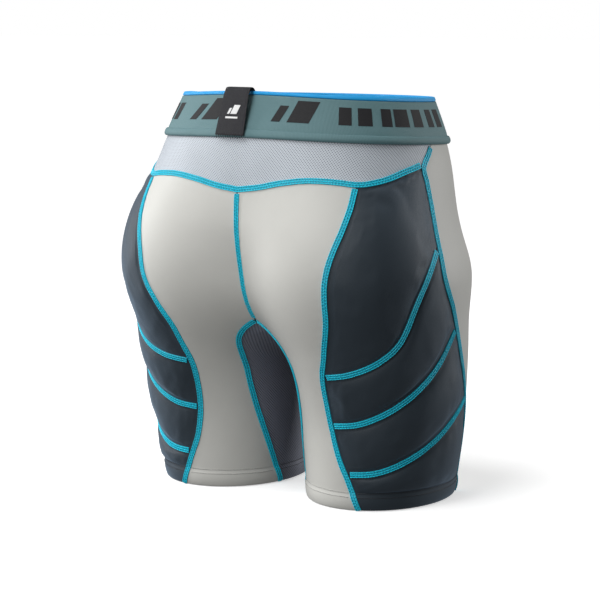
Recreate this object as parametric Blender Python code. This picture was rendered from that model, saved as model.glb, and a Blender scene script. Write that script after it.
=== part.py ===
"""Padded impact shorts: separate sewn panels, foam pads, seams and waistband.

Metres, +Z up.  The wearer faces -Y, so the back is +Y and the wearer's left is +X.
z = 0 is the lower edge of both leg hems.
A place on one half of the garment is given by a height and an angle.
The angle is 0 at the back, 90 at the outer side, 180 at the front and 270 inside the leg.
"""
import math

import bmesh
import bpy
import numpy as np

MM = 0.001

# ---- overall form -------------------------------------------------------------------
TORSO_HEIGHTS = [0.100, 0.200, 0.270, 0.335, 0.385]
TORSO_HALF_WIDTHS = [0.170, 0.154, 0.154, 0.142, 0.120]
TORSO_FRONT_DEPTHS = [0.095, 0.106, 0.104, 0.104, 0.104]
TORSO_BACK_DEPTHS = [0.095, 0.097, 0.112, 0.105, 0.086]
TORSO_SQUARENESS = 2.3
CROTCH_HEIGHT = 0.146
CROTCH_ROUNDING = 0.065

LEG_HEIGHTS = [0.000, 0.070, 0.140, 0.210]
LEG_CENTRES_X = [0.085, 0.089, 0.090, 0.090]
LEG_CENTRES_Y = [-0.006, -0.002, 0.003, 0.004]
LEG_HALF_WIDTHS = [0.067, 0.076, 0.079, 0.079]
LEG_HALF_DEPTHS = [0.080, 0.082, 0.094, 0.092]
LEG_TOP = 0.210
LEG_TOP_ROUNDING = 0.060

SEAT_CENTRE = (0.078, 0.056, 0.226)
SEAT_RADII = (0.078, 0.069, 0.088)
LEG_BLEND = 0.050
SEAT_BLEND = 0.060
LOWEST_AXIS_SHIFT = 0.140
HIGHEST_AXIS_SHIFT = 0.280
DEPTH_SHIFT = -0.0094

# ---- cloth, pads and clearances -----------------------------------------------------
GAP = 0.3 * MM
EDGE_GAP = 1.6 * MM
PANEL_THICKNESS = 1.2 * MM
COVER_THICKNESS = 0.8 * MM
LINING_THICKNESS = 0.8 * MM
PAD_RISE = 3.2 * MM
PAD_SINK = 2.0 * MM
SEAM_SHOULDER = 3.8 * MM
LINING_GAP = 0.5 * MM
HEM_HEIGHT = 16.5 * MM
HEM_THICKNESS = 2.4 * MM
HEM_ROLL = 1.4 * MM
LEG_TURN = 5.5

# ---- seam lines: angle at each height, or height across a panel -------------------
SIDE_BACK_HEIGHTS = [0.000, 0.025, 0.050, 0.077, 0.104, 0.130]
SIDE_BACK_HEIGHTS += [0.160, 0.188, 0.208, 0.232, 0.265, 0.310]
SIDE_BACK_ANGLES = [11.0, 4.0, -4.0, -8.5, -9.5, -8.0]
SIDE_BACK_ANGLES += [0.0, 14.5, 24.5, 34.0, 45.0, 53.0]
SIDE_FRONT_HEIGHTS = [0.000, 0.040, 0.080, 0.114, 0.148, 0.168, 0.190]
SIDE_FRONT_HEIGHTS += [0.216, 0.250, 0.284, 0.306, 0.320, 0.330, 0.350]
SIDE_FRONT_ANGLES = [123.0, 119.0, 112.0, 104.0, 94.0, 88.0, 83.5]
SIDE_FRONT_ANGLES += [80.0, 80.5, 82.0, 82.0, 82.0, 86.5, 95.0]
YOKE_END_ANGLE = SIDE_FRONT_ANGLES[11]
INSEAM_HEIGHTS = [0.000, 0.040, 0.080]
INSEAM_HEIGHTS += [CROTCH_HEIGHT + rise * MM for rise in (-36, -6, 10, 20, 26)]
INSEAM_BACK_ANGLES = [-67.0, -57.0, -48.0, -43.0, -40.0, -40.0, -42.0]
INSEAM_FRONT_ANGLES = [247.0, 237.0, 228.0, 223.0, 219.5, 219.0, 219.5]
YOKE_ANGLES = [0.0, 12.0, 24.0, 36.0, 46.0, 53.0, 62.0, 72.0, 82.0]
YOKE_HEIGHTS = [0.298, 0.301, 0.306, 0.309, 0.308, 0.306, 0.309, 0.316, 0.322]
PAD_SEAM_HEIGHTS = [
    [0.128, 0.133, 0.145, 0.166, 0.205, 0.250],
    [0.080, 0.084, 0.096, 0.114, 0.138, 0.170],
    [0.034, 0.037, 0.048, 0.064, 0.083, 0.099],
]
PAD_NAMES = ["upper", "middle", "lower", "hem"]

# ---- seams and stitching ------------------------------------------------------------
SEAM_WIDTH = 5.6 * MM
SEAM_HEIGHT = 0.9 * MM
SEAM_STEP = 11.0 * MM
SEAM_LIFT = 0.5 * MM
HEM_STITCH_WIDTH = 4.0 * MM
HEM_STITCH_HEIGHT = 0.6 * MM
HEM_STITCH_LEVEL = HEM_HEIGHT - 1.5 * MM

# ---- waistband and label ------------------------------------------------------------
BAND_TOP_LEVELS = (0.388, 0.381, 0.379)
BAND_BOTTOM_LEVELS = (0.345, 0.338, 0.333)
BAND_TUCK = 8.0 * MM
BAND_THICKNESS = 2.0 * MM
BAND_CLEARANCE = 0.5 * MM
BAND_ROLL_HEIGHT = 7.0 * MM
BAND_ROLL_RISE = 1.6 * MM
TOP_EDGE_HEIGHT = 4.0 * MM
TOP_EDGE_RISE = 0.3 * MM
BAND_STATIONS = 48
LABEL_ANGLE = 7.5
LABEL_WIDTH = 30.0 * MM
LABEL_THICKNESS = 0.8 * MM
LABEL_BULGE = 5.0 * MM
LABEL_RISE = 3.0 * MM

COLOURS = {
    "band": (0.114, 0.209, 0.218),
    "edge": (0.003, 0.352, 0.745),
    "label": (0.012, 0.012, 0.018),
    "yoke": (0.546, 0.597, 0.651),
    "light": (0.624, 0.624, 0.597),
    "pad": (0.035, 0.053, 0.071),
    "foam": (0.800, 0.780, 0.700),
    "lining": (0.020, 0.022, 0.026),
    "gusset": (0.036, 0.037, 0.050),
    "seam": (0.009, 0.521, 0.745),
    "hem": (0.300, 0.310, 0.320),
}


# ---- formulas of the form -----------------------------------------------------------
def profile(at, knots, values):
    """Smooth curve through the values at the knots."""
    k = np.asarray(knots, float)
    v = np.asarray(values, float)
    slope = np.gradient(v, k)
    at = np.clip(at, k[0], k[-1])
    i = np.clip(np.searchsorted(k, at) - 1, 0, len(k) - 2)
    step = k[i + 1] - k[i]
    t = (at - k[i]) / step
    near = (2 * t**3 - 3 * t**2 + 1) * v[i] + (t**3 - 2 * t**2 + t) * step * slope[i]
    far = (3 * t**2 - 2 * t**3) * v[i + 1] + (t**3 - t**2) * step * slope[i + 1]
    return near + far


def smooth_union(a, b, reach):
    h = np.maximum(reach - np.abs(a - b), 0.0) / reach
    return np.minimum(a, b) - h**3 * reach / 6


def rounded(x, y, end, radii, power):
    """Distance from an oval column that closes with a rounded end; negative inside."""
    half_width, half_depth, rounding = radii
    ring = (np.abs(x / half_width) ** power + np.abs(y / half_depth) ** power) ** (2 / power)
    scaled = np.sqrt(ring + (end / rounding) ** 2) + 1e-9
    return np.sqrt(x * x + y * y + end * end) * (1 - 1 / scaled)


def torso_field(x, y, z):
    width = profile(z, TORSO_HEIGHTS, TORSO_HALF_WIDTHS)
    front = profile(z, TORSO_HEIGHTS, TORSO_FRONT_DEPTHS)
    back = profile(z, TORSO_HEIGHTS, TORSO_BACK_DEPTHS)
    depth = np.where(y > 0, back, front)
    end = np.maximum(CROTCH_HEIGHT + CROTCH_ROUNDING - z, 0.0)
    return rounded(x, y, end, (width, depth, CROTCH_ROUNDING), TORSO_SQUARENESS)


def leg_field(x, y, z):
    cx = profile(z, LEG_HEIGHTS, LEG_CENTRES_X)
    cy = profile(z, LEG_HEIGHTS, LEG_CENTRES_Y)
    width = profile(z, LEG_HEIGHTS, LEG_HALF_WIDTHS)
    depth = profile(z, LEG_HEIGHTS, LEG_HALF_DEPTHS)
    end = np.maximum(z - LEG_TOP, 0.0)
    return rounded(x - cx, y - cy, end, (width, depth, LEG_TOP_ROUNDING), 2.0)


def seat_field(x, y, z):
    dx = x - SEAT_CENTRE[0]
    dy = y - SEAT_CENTRE[1]
    dz = z - SEAT_CENTRE[2]
    ring = (dx / SEAT_RADII[0]) ** 2 + (dy / SEAT_RADII[1]) ** 2
    scaled = np.sqrt(ring + (dz / SEAT_RADII[2]) ** 2)
    return np.sqrt(dx * dx + dy * dy + dz * dz) * (1 - 1 / (scaled + 1e-9))


def body_field(x, y, z):
    """Negative inside the wearer's form, zero on the outer face of the cloth."""
    x = np.abs(x)
    trunk = smooth_union(torso_field(x, y, z), leg_field(x, y, z), LEG_BLEND)
    return smooth_union(trunk, seat_field(x, y, z), SEAT_BLEND)


def body_normal(points):
    step = 0.4 * MM
    grad = np.zeros_like(points)
    for axis in range(3):
        shift = np.zeros(3)
        shift[axis] = step
        ahead = np.moveaxis(points + shift, -1, 0)
        behind = np.moveaxis(points - shift, -1, 0)
        grad[..., axis] = body_field(*ahead) - body_field(*behind)
    return grad / (np.linalg.norm(grad, axis=-1, keepdims=True) + 1e-12)


def onto_body(points):
    """Move points along the form's normal until they lie on it."""
    p = np.array(points, float)
    for _ in range(8):
        n = body_normal(p)
        here = body_field(*np.moveaxis(p, -1, 0))
        ahead = body_field(*np.moveaxis(p + n * 0.5 * MM, -1, 0))
        rate = np.maximum((ahead - here) / (0.5 * MM), 0.3)
        p = p - n * (here / rate)[..., None]
    return p


def axis_at(z):
    """Centre that the angles are measured from: mid-body above, leg centre below."""
    t = np.clip((HIGHEST_AXIS_SHIFT - z) / (HIGHEST_AXIS_SHIFT - LOWEST_AXIS_SHIFT), 0.0, 1.0)
    t = t * t * (3 - 2 * t)
    return profile(z, LEG_HEIGHTS, LEG_CENTRES_X) * t, profile(z, LEG_HEIGHTS, LEG_CENTRES_Y) * t


def cast(start, direction, reach):
    """First point of the form's face along each ray from inside it."""
    low = np.zeros(reach.shape)
    high = reach.copy()
    for _ in range(34):
        mid = (low + high) / 2
        p = start + direction * mid[..., None]
        inside = body_field(*np.moveaxis(p, -1, 0)) < 0
        low = np.where(inside, mid, low)
        high = np.where(inside, high, mid)
    return start + direction * ((low + high) / 2)[..., None]


def body_point(angle, z):
    """Points of the left half at the angles and heights."""
    angle, z = np.broadcast_arrays(np.asarray(angle, float), np.asarray(z, float))
    cx, cy = axis_at(z)
    rad = np.radians(angle)
    direction = np.stack([np.sin(rad), np.cos(rad), np.zeros_like(rad)], -1)
    inward = np.maximum(-direction[..., 0], 1e-6)
    reach = np.where(direction[..., 0] < -1e-6, np.minimum(0.3, cx / inward), 0.3)
    return cast(np.stack([cx, cy, z], -1), direction, np.maximum(reach, 1e-6))


def middle_angle(z, back):
    """Angle of the centre-back or centre-front line at each height, a little off the middle."""
    z = np.asarray(z, float)
    start = np.stack([np.full_like(z, EDGE_GAP / 2), np.zeros_like(z), z], -1)
    way = 1.0 if back else -1.0
    direction = np.zeros_like(start)
    direction[..., 1] = way
    p = cast(start, direction, np.full(z.shape, 0.2))
    cx, cy = axis_at(z)
    angle = np.degrees(np.arctan2(p[..., 0] - cx, p[..., 1] - cy))
    return angle if back else np.where(angle < 90, angle + 360, angle)


def underside(y):
    """Points of the crotch line on the middle plane at each depth."""
    y = np.asarray(y, float)
    start = np.stack([np.zeros_like(y), y, np.full_like(y, CROTCH_HEIGHT + CROTCH_ROUNDING)], -1)
    direction = np.zeros_like(start)
    direction[..., 2] = -1.0
    return cast(start, direction, np.full(y.shape, CROTCH_ROUNDING + CROTCH_HEIGHT / 2))


def turn(z, side):
    """Small turn of the leg cloth about the leg, in degrees of angle."""
    t = np.clip((0.220 - np.asarray(z, float)) / 0.060, 0.0, 1.0)
    return -side * LEG_TURN * t * t * (3 - 2 * t)


def level(angle, levels):
    """Height that goes smoothly from the back over the side to the front."""
    c = np.cos(np.radians(angle))
    middle = (levels[0] + levels[2]) / 2
    return middle + (levels[0] - levels[2]) / 2 * c + (levels[1] - middle) * (1 - c * c)


def side_back(z, side):
    return profile(z, SIDE_BACK_HEIGHTS, SIDE_BACK_ANGLES) + turn(z, side)


def side_front(z, side):
    return profile(z, SIDE_FRONT_HEIGHTS, SIDE_FRONT_ANGLES) + turn(z, side)


def inseam(z, side, back):
    """Inseam angle; it meets the middle line at its highest point."""
    angles = INSEAM_BACK_ANGLES if back else INSEAM_FRONT_ANGLES
    end = float(middle_angle(np.array(INSEAM_HEIGHTS[-1]), back))
    t = np.clip((INSEAM_HEIGHTS[-2] - np.asarray(z, float)) / 0.050, 0.0, 1.0)
    return profile(z, INSEAM_HEIGHTS, angles + [end]) - side * LEG_TURN * t * t * (3 - 2 * t)


def yoke_level(angle):
    return profile(np.abs(angle), YOKE_ANGLES, YOKE_HEIGHTS)


def hem_roll(z):
    """How far the turned-up hem stands out of the leg."""
    t = np.clip(np.asarray(z, float) / HEM_HEIGHT, 0.0, 1.0)
    return HEM_ROLL * np.sin(math.pi * t) ** 0.7 + 0.4 * MM * (1 - t)


def placed(points, offset, side=1):
    """Points moved out of the form by the offset; the lowest row stays level."""
    n = body_normal(points)
    low = points[..., 2] < 1e-6
    flat = n * np.array([1.0, 1.0, 0.0])
    flat /= np.linalg.norm(flat, axis=-1, keepdims=True) + 1e-12
    n = np.where(low[..., None], flat, n)
    out = points + n * (offset + hem_roll(points[..., 2]))[..., None]
    out[..., 1] += DEPTH_SHIFT
    out[..., 0] *= side
    return out


# ---- mesh helpers ---------------------------------------------------------------------
def clear_scene():
    for ob in list(bpy.data.objects):
        bpy.data.objects.remove(ob, do_unlink=True)


def material(name, colour, roughness):
    m = bpy.data.materials.new(name)
    m.use_nodes = True
    m.diffuse_color = (*colour, 1.0)
    shader = m.node_tree.nodes["Principled BSDF"]
    shader.inputs["Base Color"].default_value = (*colour, 1.0)
    shader.inputs["Roughness"].default_value = roughness
    return m


def add_node(name, verts, faces, kind, roughness=0.8):
    mesh = bpy.data.meshes.new(name)
    mesh.from_pydata([tuple(map(float, v)) for v in verts], [], faces)
    bm = bmesh.new()
    bm.from_mesh(mesh)
    bmesh.ops.recalc_face_normals(bm, faces=bm.faces[:])
    bm.to_mesh(mesh)
    bm.free()
    mesh.materials.append(material(name + "_material", COLOURS[kind], roughness))
    ob = bpy.data.objects.new(name, mesh)
    bpy.context.scene.collection.objects.link(ob)
    return ob


def split(a, b, c, d):
    """Two triangles of a four-cornered face, always cut from a to c."""
    return [(a, b, c), (a, c, d)]


def fan(loop):
    return [(loop[0], loop[i], loop[i + 1]) for i in range(1, len(loop) - 1)]


def tube(name, rings, kind, closed=False):
    """Solid whose cross-section rings follow each other; closed joins last to first."""
    count, size = rings.shape[:2]
    faces = []
    for i in range(count if closed else count - 1):
        k = (i + 1) % count
        for j in range(size):
            m = (j + 1) % size
            faces += split(i * size + j, i * size + m, k * size + m, k * size + j)
    if not closed:
        faces += fan(list(range(size)))
        faces += fan([(count - 1) * size + j for j in reversed(range(size))])
    return add_node(name, rings.reshape(-1, 3), faces, kind)


def rim_of(rows, cols):
    """Indices round the edge of a grid."""
    rim = list(range(cols))
    rim += [r * cols + cols - 1 for r in range(1, rows)]
    rim += [(rows - 1) * cols + c for c in range(cols - 2, -1, -1)]
    rim += [r * cols for r in range(rows - 2, 0, -1)]
    return rim


def skin(name, outer, inner, kind):
    """Thin solid between two grids of the same size."""
    rows, cols = outer.shape[:2]
    half = rows * cols
    faces = []
    for r in range(rows - 1):
        for c in range(cols - 1):
            a = r * cols + c
            front = split(a, a + 1, a + cols + 1, a + cols)
            faces += front
            faces += [tuple(half + q for q in reversed(f)) for f in front]
    rim = rim_of(rows, cols)
    for a, b in zip(rim, rim[1:] + rim[:1]):
        faces += split(b, a, half + a, half + b)
    verts = np.concatenate([outer.reshape(-1, 3), inner.reshape(-1, 3)])
    return add_node(name, verts, faces, kind)


def panel(name, points, side, kind, thickness=PANEL_THICKNESS):
    """Cloth panel with its doubled hem near the lower edge."""
    z = points[..., 2]
    depth = np.where(z < HEM_HEIGHT + 0.1 * MM, HEM_THICKNESS, thickness)
    outer = placed(points, np.zeros_like(z), side)
    inner = placed(points, -depth, side)
    return skin(name, outer, inner, kind)


def degrees_of(length, z):
    """Angle that a short length across the leg or body takes up."""
    return np.degrees(length / (0.075 + 0.35 * np.clip(np.asarray(z, float) - 0.12, 0.0, 0.16)))


# ---- panels ---------------------------------------------------------------------------
HEM_ROWS = [share * HEM_HEIGHT for share in (0.0, 0.21, 0.55, 0.85, 1.0, 1.09)]
LEG_ROWS = [0.036, 0.056, 0.076, 0.096]
LEG_ROWS += [CROTCH_HEIGHT + rise * MM for rise in (-34, -20, -8, 2, 11, 19, 23, 24.6)]
BODY_ROWS = [0.179, 0.190, 0.206, 0.226, 0.246, 0.266, 0.284]
JUNCTION_HEIGHT = INSEAM_HEIGHTS[-1]
MIDDLE_ROWS = HEM_ROWS + LEG_ROWS + [JUNCTION_HEIGHT] + BODY_ROWS
FRONT_ROWS = [0.298, 0.310, 0.320, 0.329]
TOP_BLEND_START = 0.200
SIDE_LEVELS = HEM_ROWS + [0.030 + 0.0125 * i for i in range(26)]


def middle_edge(z, side, back):
    """Inner edge of a panel: the inseam on the leg, the middle line above it."""
    above = middle_angle(np.maximum(z, JUNCTION_HEIGHT + 0.1 * MM), back)
    below = inseam(np.minimum(z, JUNCTION_HEIGHT), side, back)
    gap = degrees_of(EDGE_GAP / 2, z) * (1 if back else -1)
    return np.where(z > JUNCTION_HEIGHT, above, below + gap)


def panel_grid(rows, near_edge, far_edge, top, columns):
    """Grid of points between two seam lines, up to a top line that may slope."""
    rows = np.asarray(rows, float)
    near_top = near_edge(rows[-1:])[0]
    far_top = far_edge(rows[-1:])[0]
    far_top = far_edge(np.array([float(top(far_top))]))[0]
    u = np.linspace(0.0, 1.0, columns)
    tops = top(near_top * (1 - u) + far_top * u)
    s = np.clip((rows - TOP_BLEND_START) / (rows[-1] - TOP_BLEND_START), 0.0, 1.0)
    s = s * s * (3 - 2 * s)
    z = rows[:, None] + s[:, None] * (tops[None, :] - rows[-1])
    near = near_edge(z[:, 0])
    far = far_edge(z[:, -1])
    angle = near[:, None] * (1 - u) + far[:, None] * u
    return body_point(angle, z)


def back_panel(side, word):
    rows = MIDDLE_ROWS + [YOKE_HEIGHTS[0] - EDGE_GAP / 2]
    points = panel_grid(
        rows,
        lambda z: middle_edge(z, side, True),
        lambda z: side_back(z, side) - degrees_of(EDGE_GAP / 2, z),
        lambda a: yoke_level(a) - EDGE_GAP / 2,
        7,
    )
    panel(f"back_panel_{word}", points, side, "light")


def front_panel(side, word):
    top = float(level(180.0, BAND_BOTTOM_LEVELS)) + BAND_TUCK
    rows = MIDDLE_ROWS + FRONT_ROWS + [top]
    points = panel_grid(
        rows,
        lambda z: side_front(z, side) + degrees_of(EDGE_GAP / 2, z),
        lambda z: middle_edge(z, side, False),
        lambda a: level(a, BAND_BOTTOM_LEVELS) + BAND_TUCK,
        8,
    )
    panel(f"front_panel_{word}", points, side, "light")


def back_yoke():
    """One mesh panel from side seam to side seam, tucked under the waistband."""
    end_low = YOKE_END_ANGLE - float(degrees_of(EDGE_GAP / 2, 0.32))
    end_high = float(side_front(level(90.0, BAND_BOTTOM_LEVELS) + BAND_TUCK, 1)) - 0.2
    u = np.linspace(-1.0, 1.0, 23)
    low = yoke_level(u * end_low) + EDGE_GAP / 2
    high = level(u * end_high, BAND_BOTTOM_LEVELS) + BAND_TUCK
    v = np.array([0.0, 0.25, 0.5, 0.75, 1.0])[:, None]
    z = low * (1 - v) + high * v
    reach = side_front(z[:, -1], 1) - degrees_of(EDGE_GAP / 2, z[:, -1])
    angle = reach[:, None] * u
    points = body_point(np.abs(angle), z)
    points[..., 0] *= np.sign(u)
    panel("back_yoke", points, 1, "yoke")


def edge_curve(side, back):
    """Inseam edge of the gusset from the hem up to the middle plane."""
    z = np.array(HEM_ROWS + LEG_ROWS)
    angle = inseam(z, side, back) + degrees_of(EDGE_GAP / 2, z) * (-1 if back else 1)
    end = underside(crotch_ends()[0 if back else 1])
    return np.concatenate([body_point(angle, z), end[None, :]])


def crotch_ends():
    """Depths where the inseams reach the middle plane, at the back and at the front."""
    places = []
    for back in (True, False):
        start = np.array([0.0, 0.0, JUNCTION_HEIGHT])
        direction = np.array([0.0, 1.0 if back else -1.0, 0.0])
        p = cast(start[None, :], direction[None, :], np.array([0.2]))[0]
        places.append(p[1] + (-EDGE_GAP if back else EDGE_GAP))
    return places


def gusset_half(side):
    """Rows from the hem to the middle plane; columns from the back inseam to the front."""
    t = np.linspace(0.0, 1.0, 7)
    back = edge_curve(side, True)
    front = edge_curve(side, False)
    ends = crotch_ends()
    last = underside(ends[0] * (1 - t) + ends[1] * t)
    z = np.array(HEM_ROWS)
    start = inseam(z, side, True) - degrees_of(EDGE_GAP / 2, z) + 360.0
    stop = inseam(z, side, False) + degrees_of(EDGE_GAP / 2, z)
    low = body_point(start[:, None] * (1 - t) + stop[:, None] * t, z[:, None])
    grid = patch(back[len(z) - 1 :], front[len(z) - 1 :], low[-1], last, t)
    grid[1:-1, 1:-1] = onto_body(grid[1:-1, 1:-1])
    return np.concatenate([low, grid[1:]])


def patch(near, far, first, last, t):
    """Grid between two side lines and two end lines."""
    h = np.concatenate([[0.0], np.cumsum(np.linalg.norm(np.diff(near, axis=0), axis=1))])
    h = (h / h[-1])[:, None, None]
    t = t[None, :, None]
    sides = near[:, None, :] * (1 - t) + far[:, None, :] * t
    ends = first[None] * (1 - h) + last[None] * h
    low = first[0] * (1 - t) + first[-1] * t
    high = last[0] * (1 - t) + last[-1] * t
    return sides + ends - low * (1 - h) - high * h


def gusset():
    """One mesh piece down both inner thighs, through the crotch."""
    left = gusset_half(1)
    right = gusset_half(-1)
    right[..., 0] *= -1
    points = np.concatenate([left[:-1], left[-1:], right[-2::-1]])
    z = points[..., 2]
    depth = np.where(z < HEM_HEIGHT + 0.1 * MM, HEM_THICKNESS, PANEL_THICKNESS)
    skin("gusset", placed(points, np.zeros_like(z)), placed(points, -depth), "gusset")


# ---- padded side panels -----------------------------------------------------------
FULL_SHARES = np.array([0.0, 0.12, 0.31, 0.5, 0.69, 0.88, 1.0])


def pad_line(index, u):
    """Heights of a line across the side panel at shares of its width."""
    if index < 0:
        return yoke_level(SIDE_BACK_ANGLES[-1] * (1 - u) + YOKE_END_ANGLE * u)
    return profile(u, np.linspace(0.0, 1.0, 6), PAD_SEAM_HEIGHTS[index])


def cell_columns(index, side):
    """Shares across a cell: both edges, both shoulders and the full part between."""
    z = np.array([float(pad_line(index - 1, 0.5)) - 15 * MM])
    width = float((side_front(z, side) - side_back(z, side))[0])
    shoulder = float(degrees_of(SEAM_SHOULDER, z)[0]) / width
    u = np.concatenate([[0.0], shoulder + FULL_SHARES * (1 - 2 * shoulder), [1.0]])
    across = 1 - np.abs(2 * FULL_SHARES - 1) ** 4
    return u, np.concatenate([[0.0], across, [0.0]])


def cell_rows(index, u):
    """Heights up a cell at every column, with how full the pad is at each row."""
    above = pad_line(index - 1, u) - EDGE_GAP / 2
    rise = SEAM_SHOULDER * np.sqrt(1 + (np.gradient(above, u) / 0.14) ** 2)
    if index < 3:
        below = pad_line(index, u) + EDGE_GAP / 2
        start = below + SEAM_SHOULDER * np.sqrt(1 + (np.gradient(below, u) / 0.14) ** 2)
        first = below[None, :]
        shares = FULL_SHARES
    else:
        start = np.full_like(u, HEM_ROWS[-1])
        first = np.array(HEM_ROWS)[:-1, None] * np.ones_like(u)
        shares = np.array([0.0, 0.28, 0.5, 0.72, 1.0])
    middle = start + shares[:, None] * (above - rise - start)
    along = 1 - np.abs(2 * shares - 1) ** 4
    full = np.concatenate([np.zeros(len(first)), along, [0.0]])
    return np.concatenate([first, middle, above[None, :]]), full


def cell_grid(index, side):
    """Points and fullness of one padded cell of the side panel."""
    u, across = cell_columns(index, side)
    z, along = cell_rows(index, u)
    near = side_back(z[:, 0], side) + degrees_of(EDGE_GAP / 2, z[:, 0])
    far = side_front(z[:, -1], side) - degrees_of(EDGE_GAP / 2, z[:, -1])
    angle = near[:, None] * (1 - u) + far[:, None] * u
    return body_point(angle, z), along[:, None] * across[None, :]


def pad_cover(index, side, word):
    points, full = cell_grid(index, side)
    z = points[..., 2]
    depth = np.where(z < HEM_HEIGHT + 0.1 * MM, HEM_THICKNESS, COVER_THICKNESS)
    outer = placed(points, PAD_RISE * full, side)
    inner = placed(points, PAD_RISE * full - depth, side)
    skin(f"pad_cover_{PAD_NAMES[index]}_{word}", outer, inner, "pad")


def foam_pad(index, side, word):
    """Foam that fills a cell between the cover and the lining."""
    points, full = cell_grid(index, side)
    low = 2 if index < 3 else len(HEM_ROWS)
    points = points[low:-2, 2:-2]
    full = full[low:-2, 2:-2]
    outer = placed(points, PAD_RISE * full - COVER_THICKNESS - GAP, side)
    inner = placed(points, -COVER_THICKNESS - LINING_GAP + GAP - PAD_SINK * full, side)
    skin(f"foam_pad_{PAD_NAMES[index]}_{word}", outer, inner, "foam")


def pad_lining(side, word):
    """Inner cloth behind all four pads, from above the hem to the yoke."""
    grids = []
    fulls = []
    for index in (3, 2, 1, 0):
        points, full = cell_grid(index, side)
        rows = list(range(points.shape[0]))
        rows = rows[len(HEM_ROWS) - 1 :] if index == 3 else rows[:1] + rows[2:]
        rows = rows[:-2] + rows[-1:]
        keep = [0] + list(range(2, points.shape[1] - 2)) + [points.shape[1] - 1]
        grids.append(points[rows][:, keep])
        fulls.append(full[rows][:, keep])
    points = np.concatenate(grids)
    top = -COVER_THICKNESS - LINING_GAP - PAD_SINK * np.concatenate(fulls)
    outer = placed(points, top, side)
    inner = placed(points, top - LINING_THICKNESS, side)
    skin(f"pad_lining_{word}", outer, inner, "lining")


# ---- seams ----------------------------------------------------------------------------
def dense(points, step=1.0 * MM):
    """The same line with a point about every step."""
    length = np.concatenate([[0.0], np.cumsum(np.linalg.norm(np.diff(points, axis=0), axis=1))])
    count = max(int(length[-1] / step), 4)
    at = np.linspace(0.0, length[-1], count + 1)
    return np.stack([np.interp(at, length, points[:, i]) for i in range(3)], -1)


def sideways(line):
    along = np.gradient(line, axis=0)
    along /= np.linalg.norm(along, axis=1, keepdims=True)
    across = np.cross(along, body_normal(line))
    return across / np.linalg.norm(across, axis=1, keepdims=True)


def clear_of(line, others, width):
    """Shorten the line at its ends until its corners clear the lines it meets."""
    across = sideways(line) * width / 2
    reach = SEAM_WIDTH / 2 + GAP
    near = np.zeros(len(line), bool)
    for other in others:
        for corner in (line - across, line, line + across):
            apart = np.linalg.norm(corner[:, None, :] - other[None, :, :], axis=2).min(axis=1)
            near |= apart < reach
    free = np.flatnonzero(~near)
    runs = np.split(free, np.flatnonzero(np.diff(free) > 1) + 1)
    longest = max(runs, key=len)
    return line[longest[0] : longest[-1] + 1]


def stations(line, levels, step):
    """Indices along a line: at the given heights, or evenly where none are given."""
    if levels is None:
        length = np.linalg.norm(np.diff(line, axis=0), axis=1).sum()
        count = max(int(round(length / step)), 3)
        return np.unique(np.round(np.linspace(0, len(line) - 1, count + 1)).astype(int))
    inside = [h for h in levels if line[0, 2] + MM < h < line[-1, 2] - MM]
    picks = [int(np.abs(line[:, 2] - h).argmin()) for h in inside]
    return np.unique([0] + picks + [len(line) - 1])


def ribbon(name, line, side, size, kind, levels=None):
    """Flat strip of a width and height lying on the cloth along a line."""
    width, height = size
    pick = stations(line, levels, SEAM_STEP)
    across = sideways(line)[pick]
    centre = line[pick]
    rings = []
    for shift, offset in ((-0.5, 0.0), (0.5, 0.0), (0.38, height), (-0.38, height)):
        p = onto_body(centre + across * shift * width)
        p[centre[:, 2] < 1e-6, 2] = 0.0
        rings.append(placed(p, np.full(len(p), SEAM_LIFT + offset), side))
    return tube(name, np.stack(rings, 1), kind)


def line_of(angle, z):
    return dense(onto_body(body_point(angle, z)))


def seam_lines(side):
    """All seam centre lines of one half, in the left half's frame."""
    up = np.linspace(0.0, 1.0, 60)
    z_back = up * float(yoke_level(SIDE_BACK_ANGLES[-1]))
    z_front = up * (float(level(88.0, BAND_BOTTOM_LEVELS)) - 2.5 * MM)
    z_in = up * JUNCTION_HEIGHT
    lines = {
        "side_back": line_of(side_back(z_back, side), z_back),
        "side_front": line_of(side_front(z_front, side), z_front),
        "inseam_back": line_of(inseam(z_in, side, True), z_in),
        "inseam_front": line_of(inseam(z_in, side, False), z_in),
    }
    for index in range(3):
        z = pad_line(index, up)
        angle = side_back(z[0], side) * (1 - up) + side_front(z[-1], side) * up
        lines[f"pad_seam_{index + 1}"] = line_of(angle, z)
    return lines


def yoke_line():
    angle = np.linspace(-YOKE_END_ANGLE, YOKE_END_ANGLE, 121)
    points = body_point(np.abs(angle), yoke_level(angle))
    points[:, 0] *= np.where(angle < 0, -1.0, 1.0)
    return dense(points)


def middle_line(back, top):
    z = np.linspace(JUNCTION_HEIGHT, top, 60)
    start = np.stack([np.zeros_like(z), np.zeros_like(z), z], -1)
    direction = np.zeros_like(start)
    direction[:, 1] = 1.0 if back else -1.0
    return dense(cast(start, direction, np.full(z.shape, 0.2)))


def mirrored(line):
    return line * np.array([-1.0, 1.0, 1.0])


def seam(name, line, side, others, levels=None):
    size = (SEAM_WIDTH, SEAM_HEIGHT)
    ribbon(name, clear_of(line, others, SEAM_WIDTH), side, size, "seam", levels)


def own_side(line):
    """The stretch of a line whose seam stays on its own side of the middle plane."""
    across = sideways(line) * SEAM_WIDTH / 2
    nearest = np.minimum((line - across)[:, 0], (line + across)[:, 0])
    return line[nearest > GAP]


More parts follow.
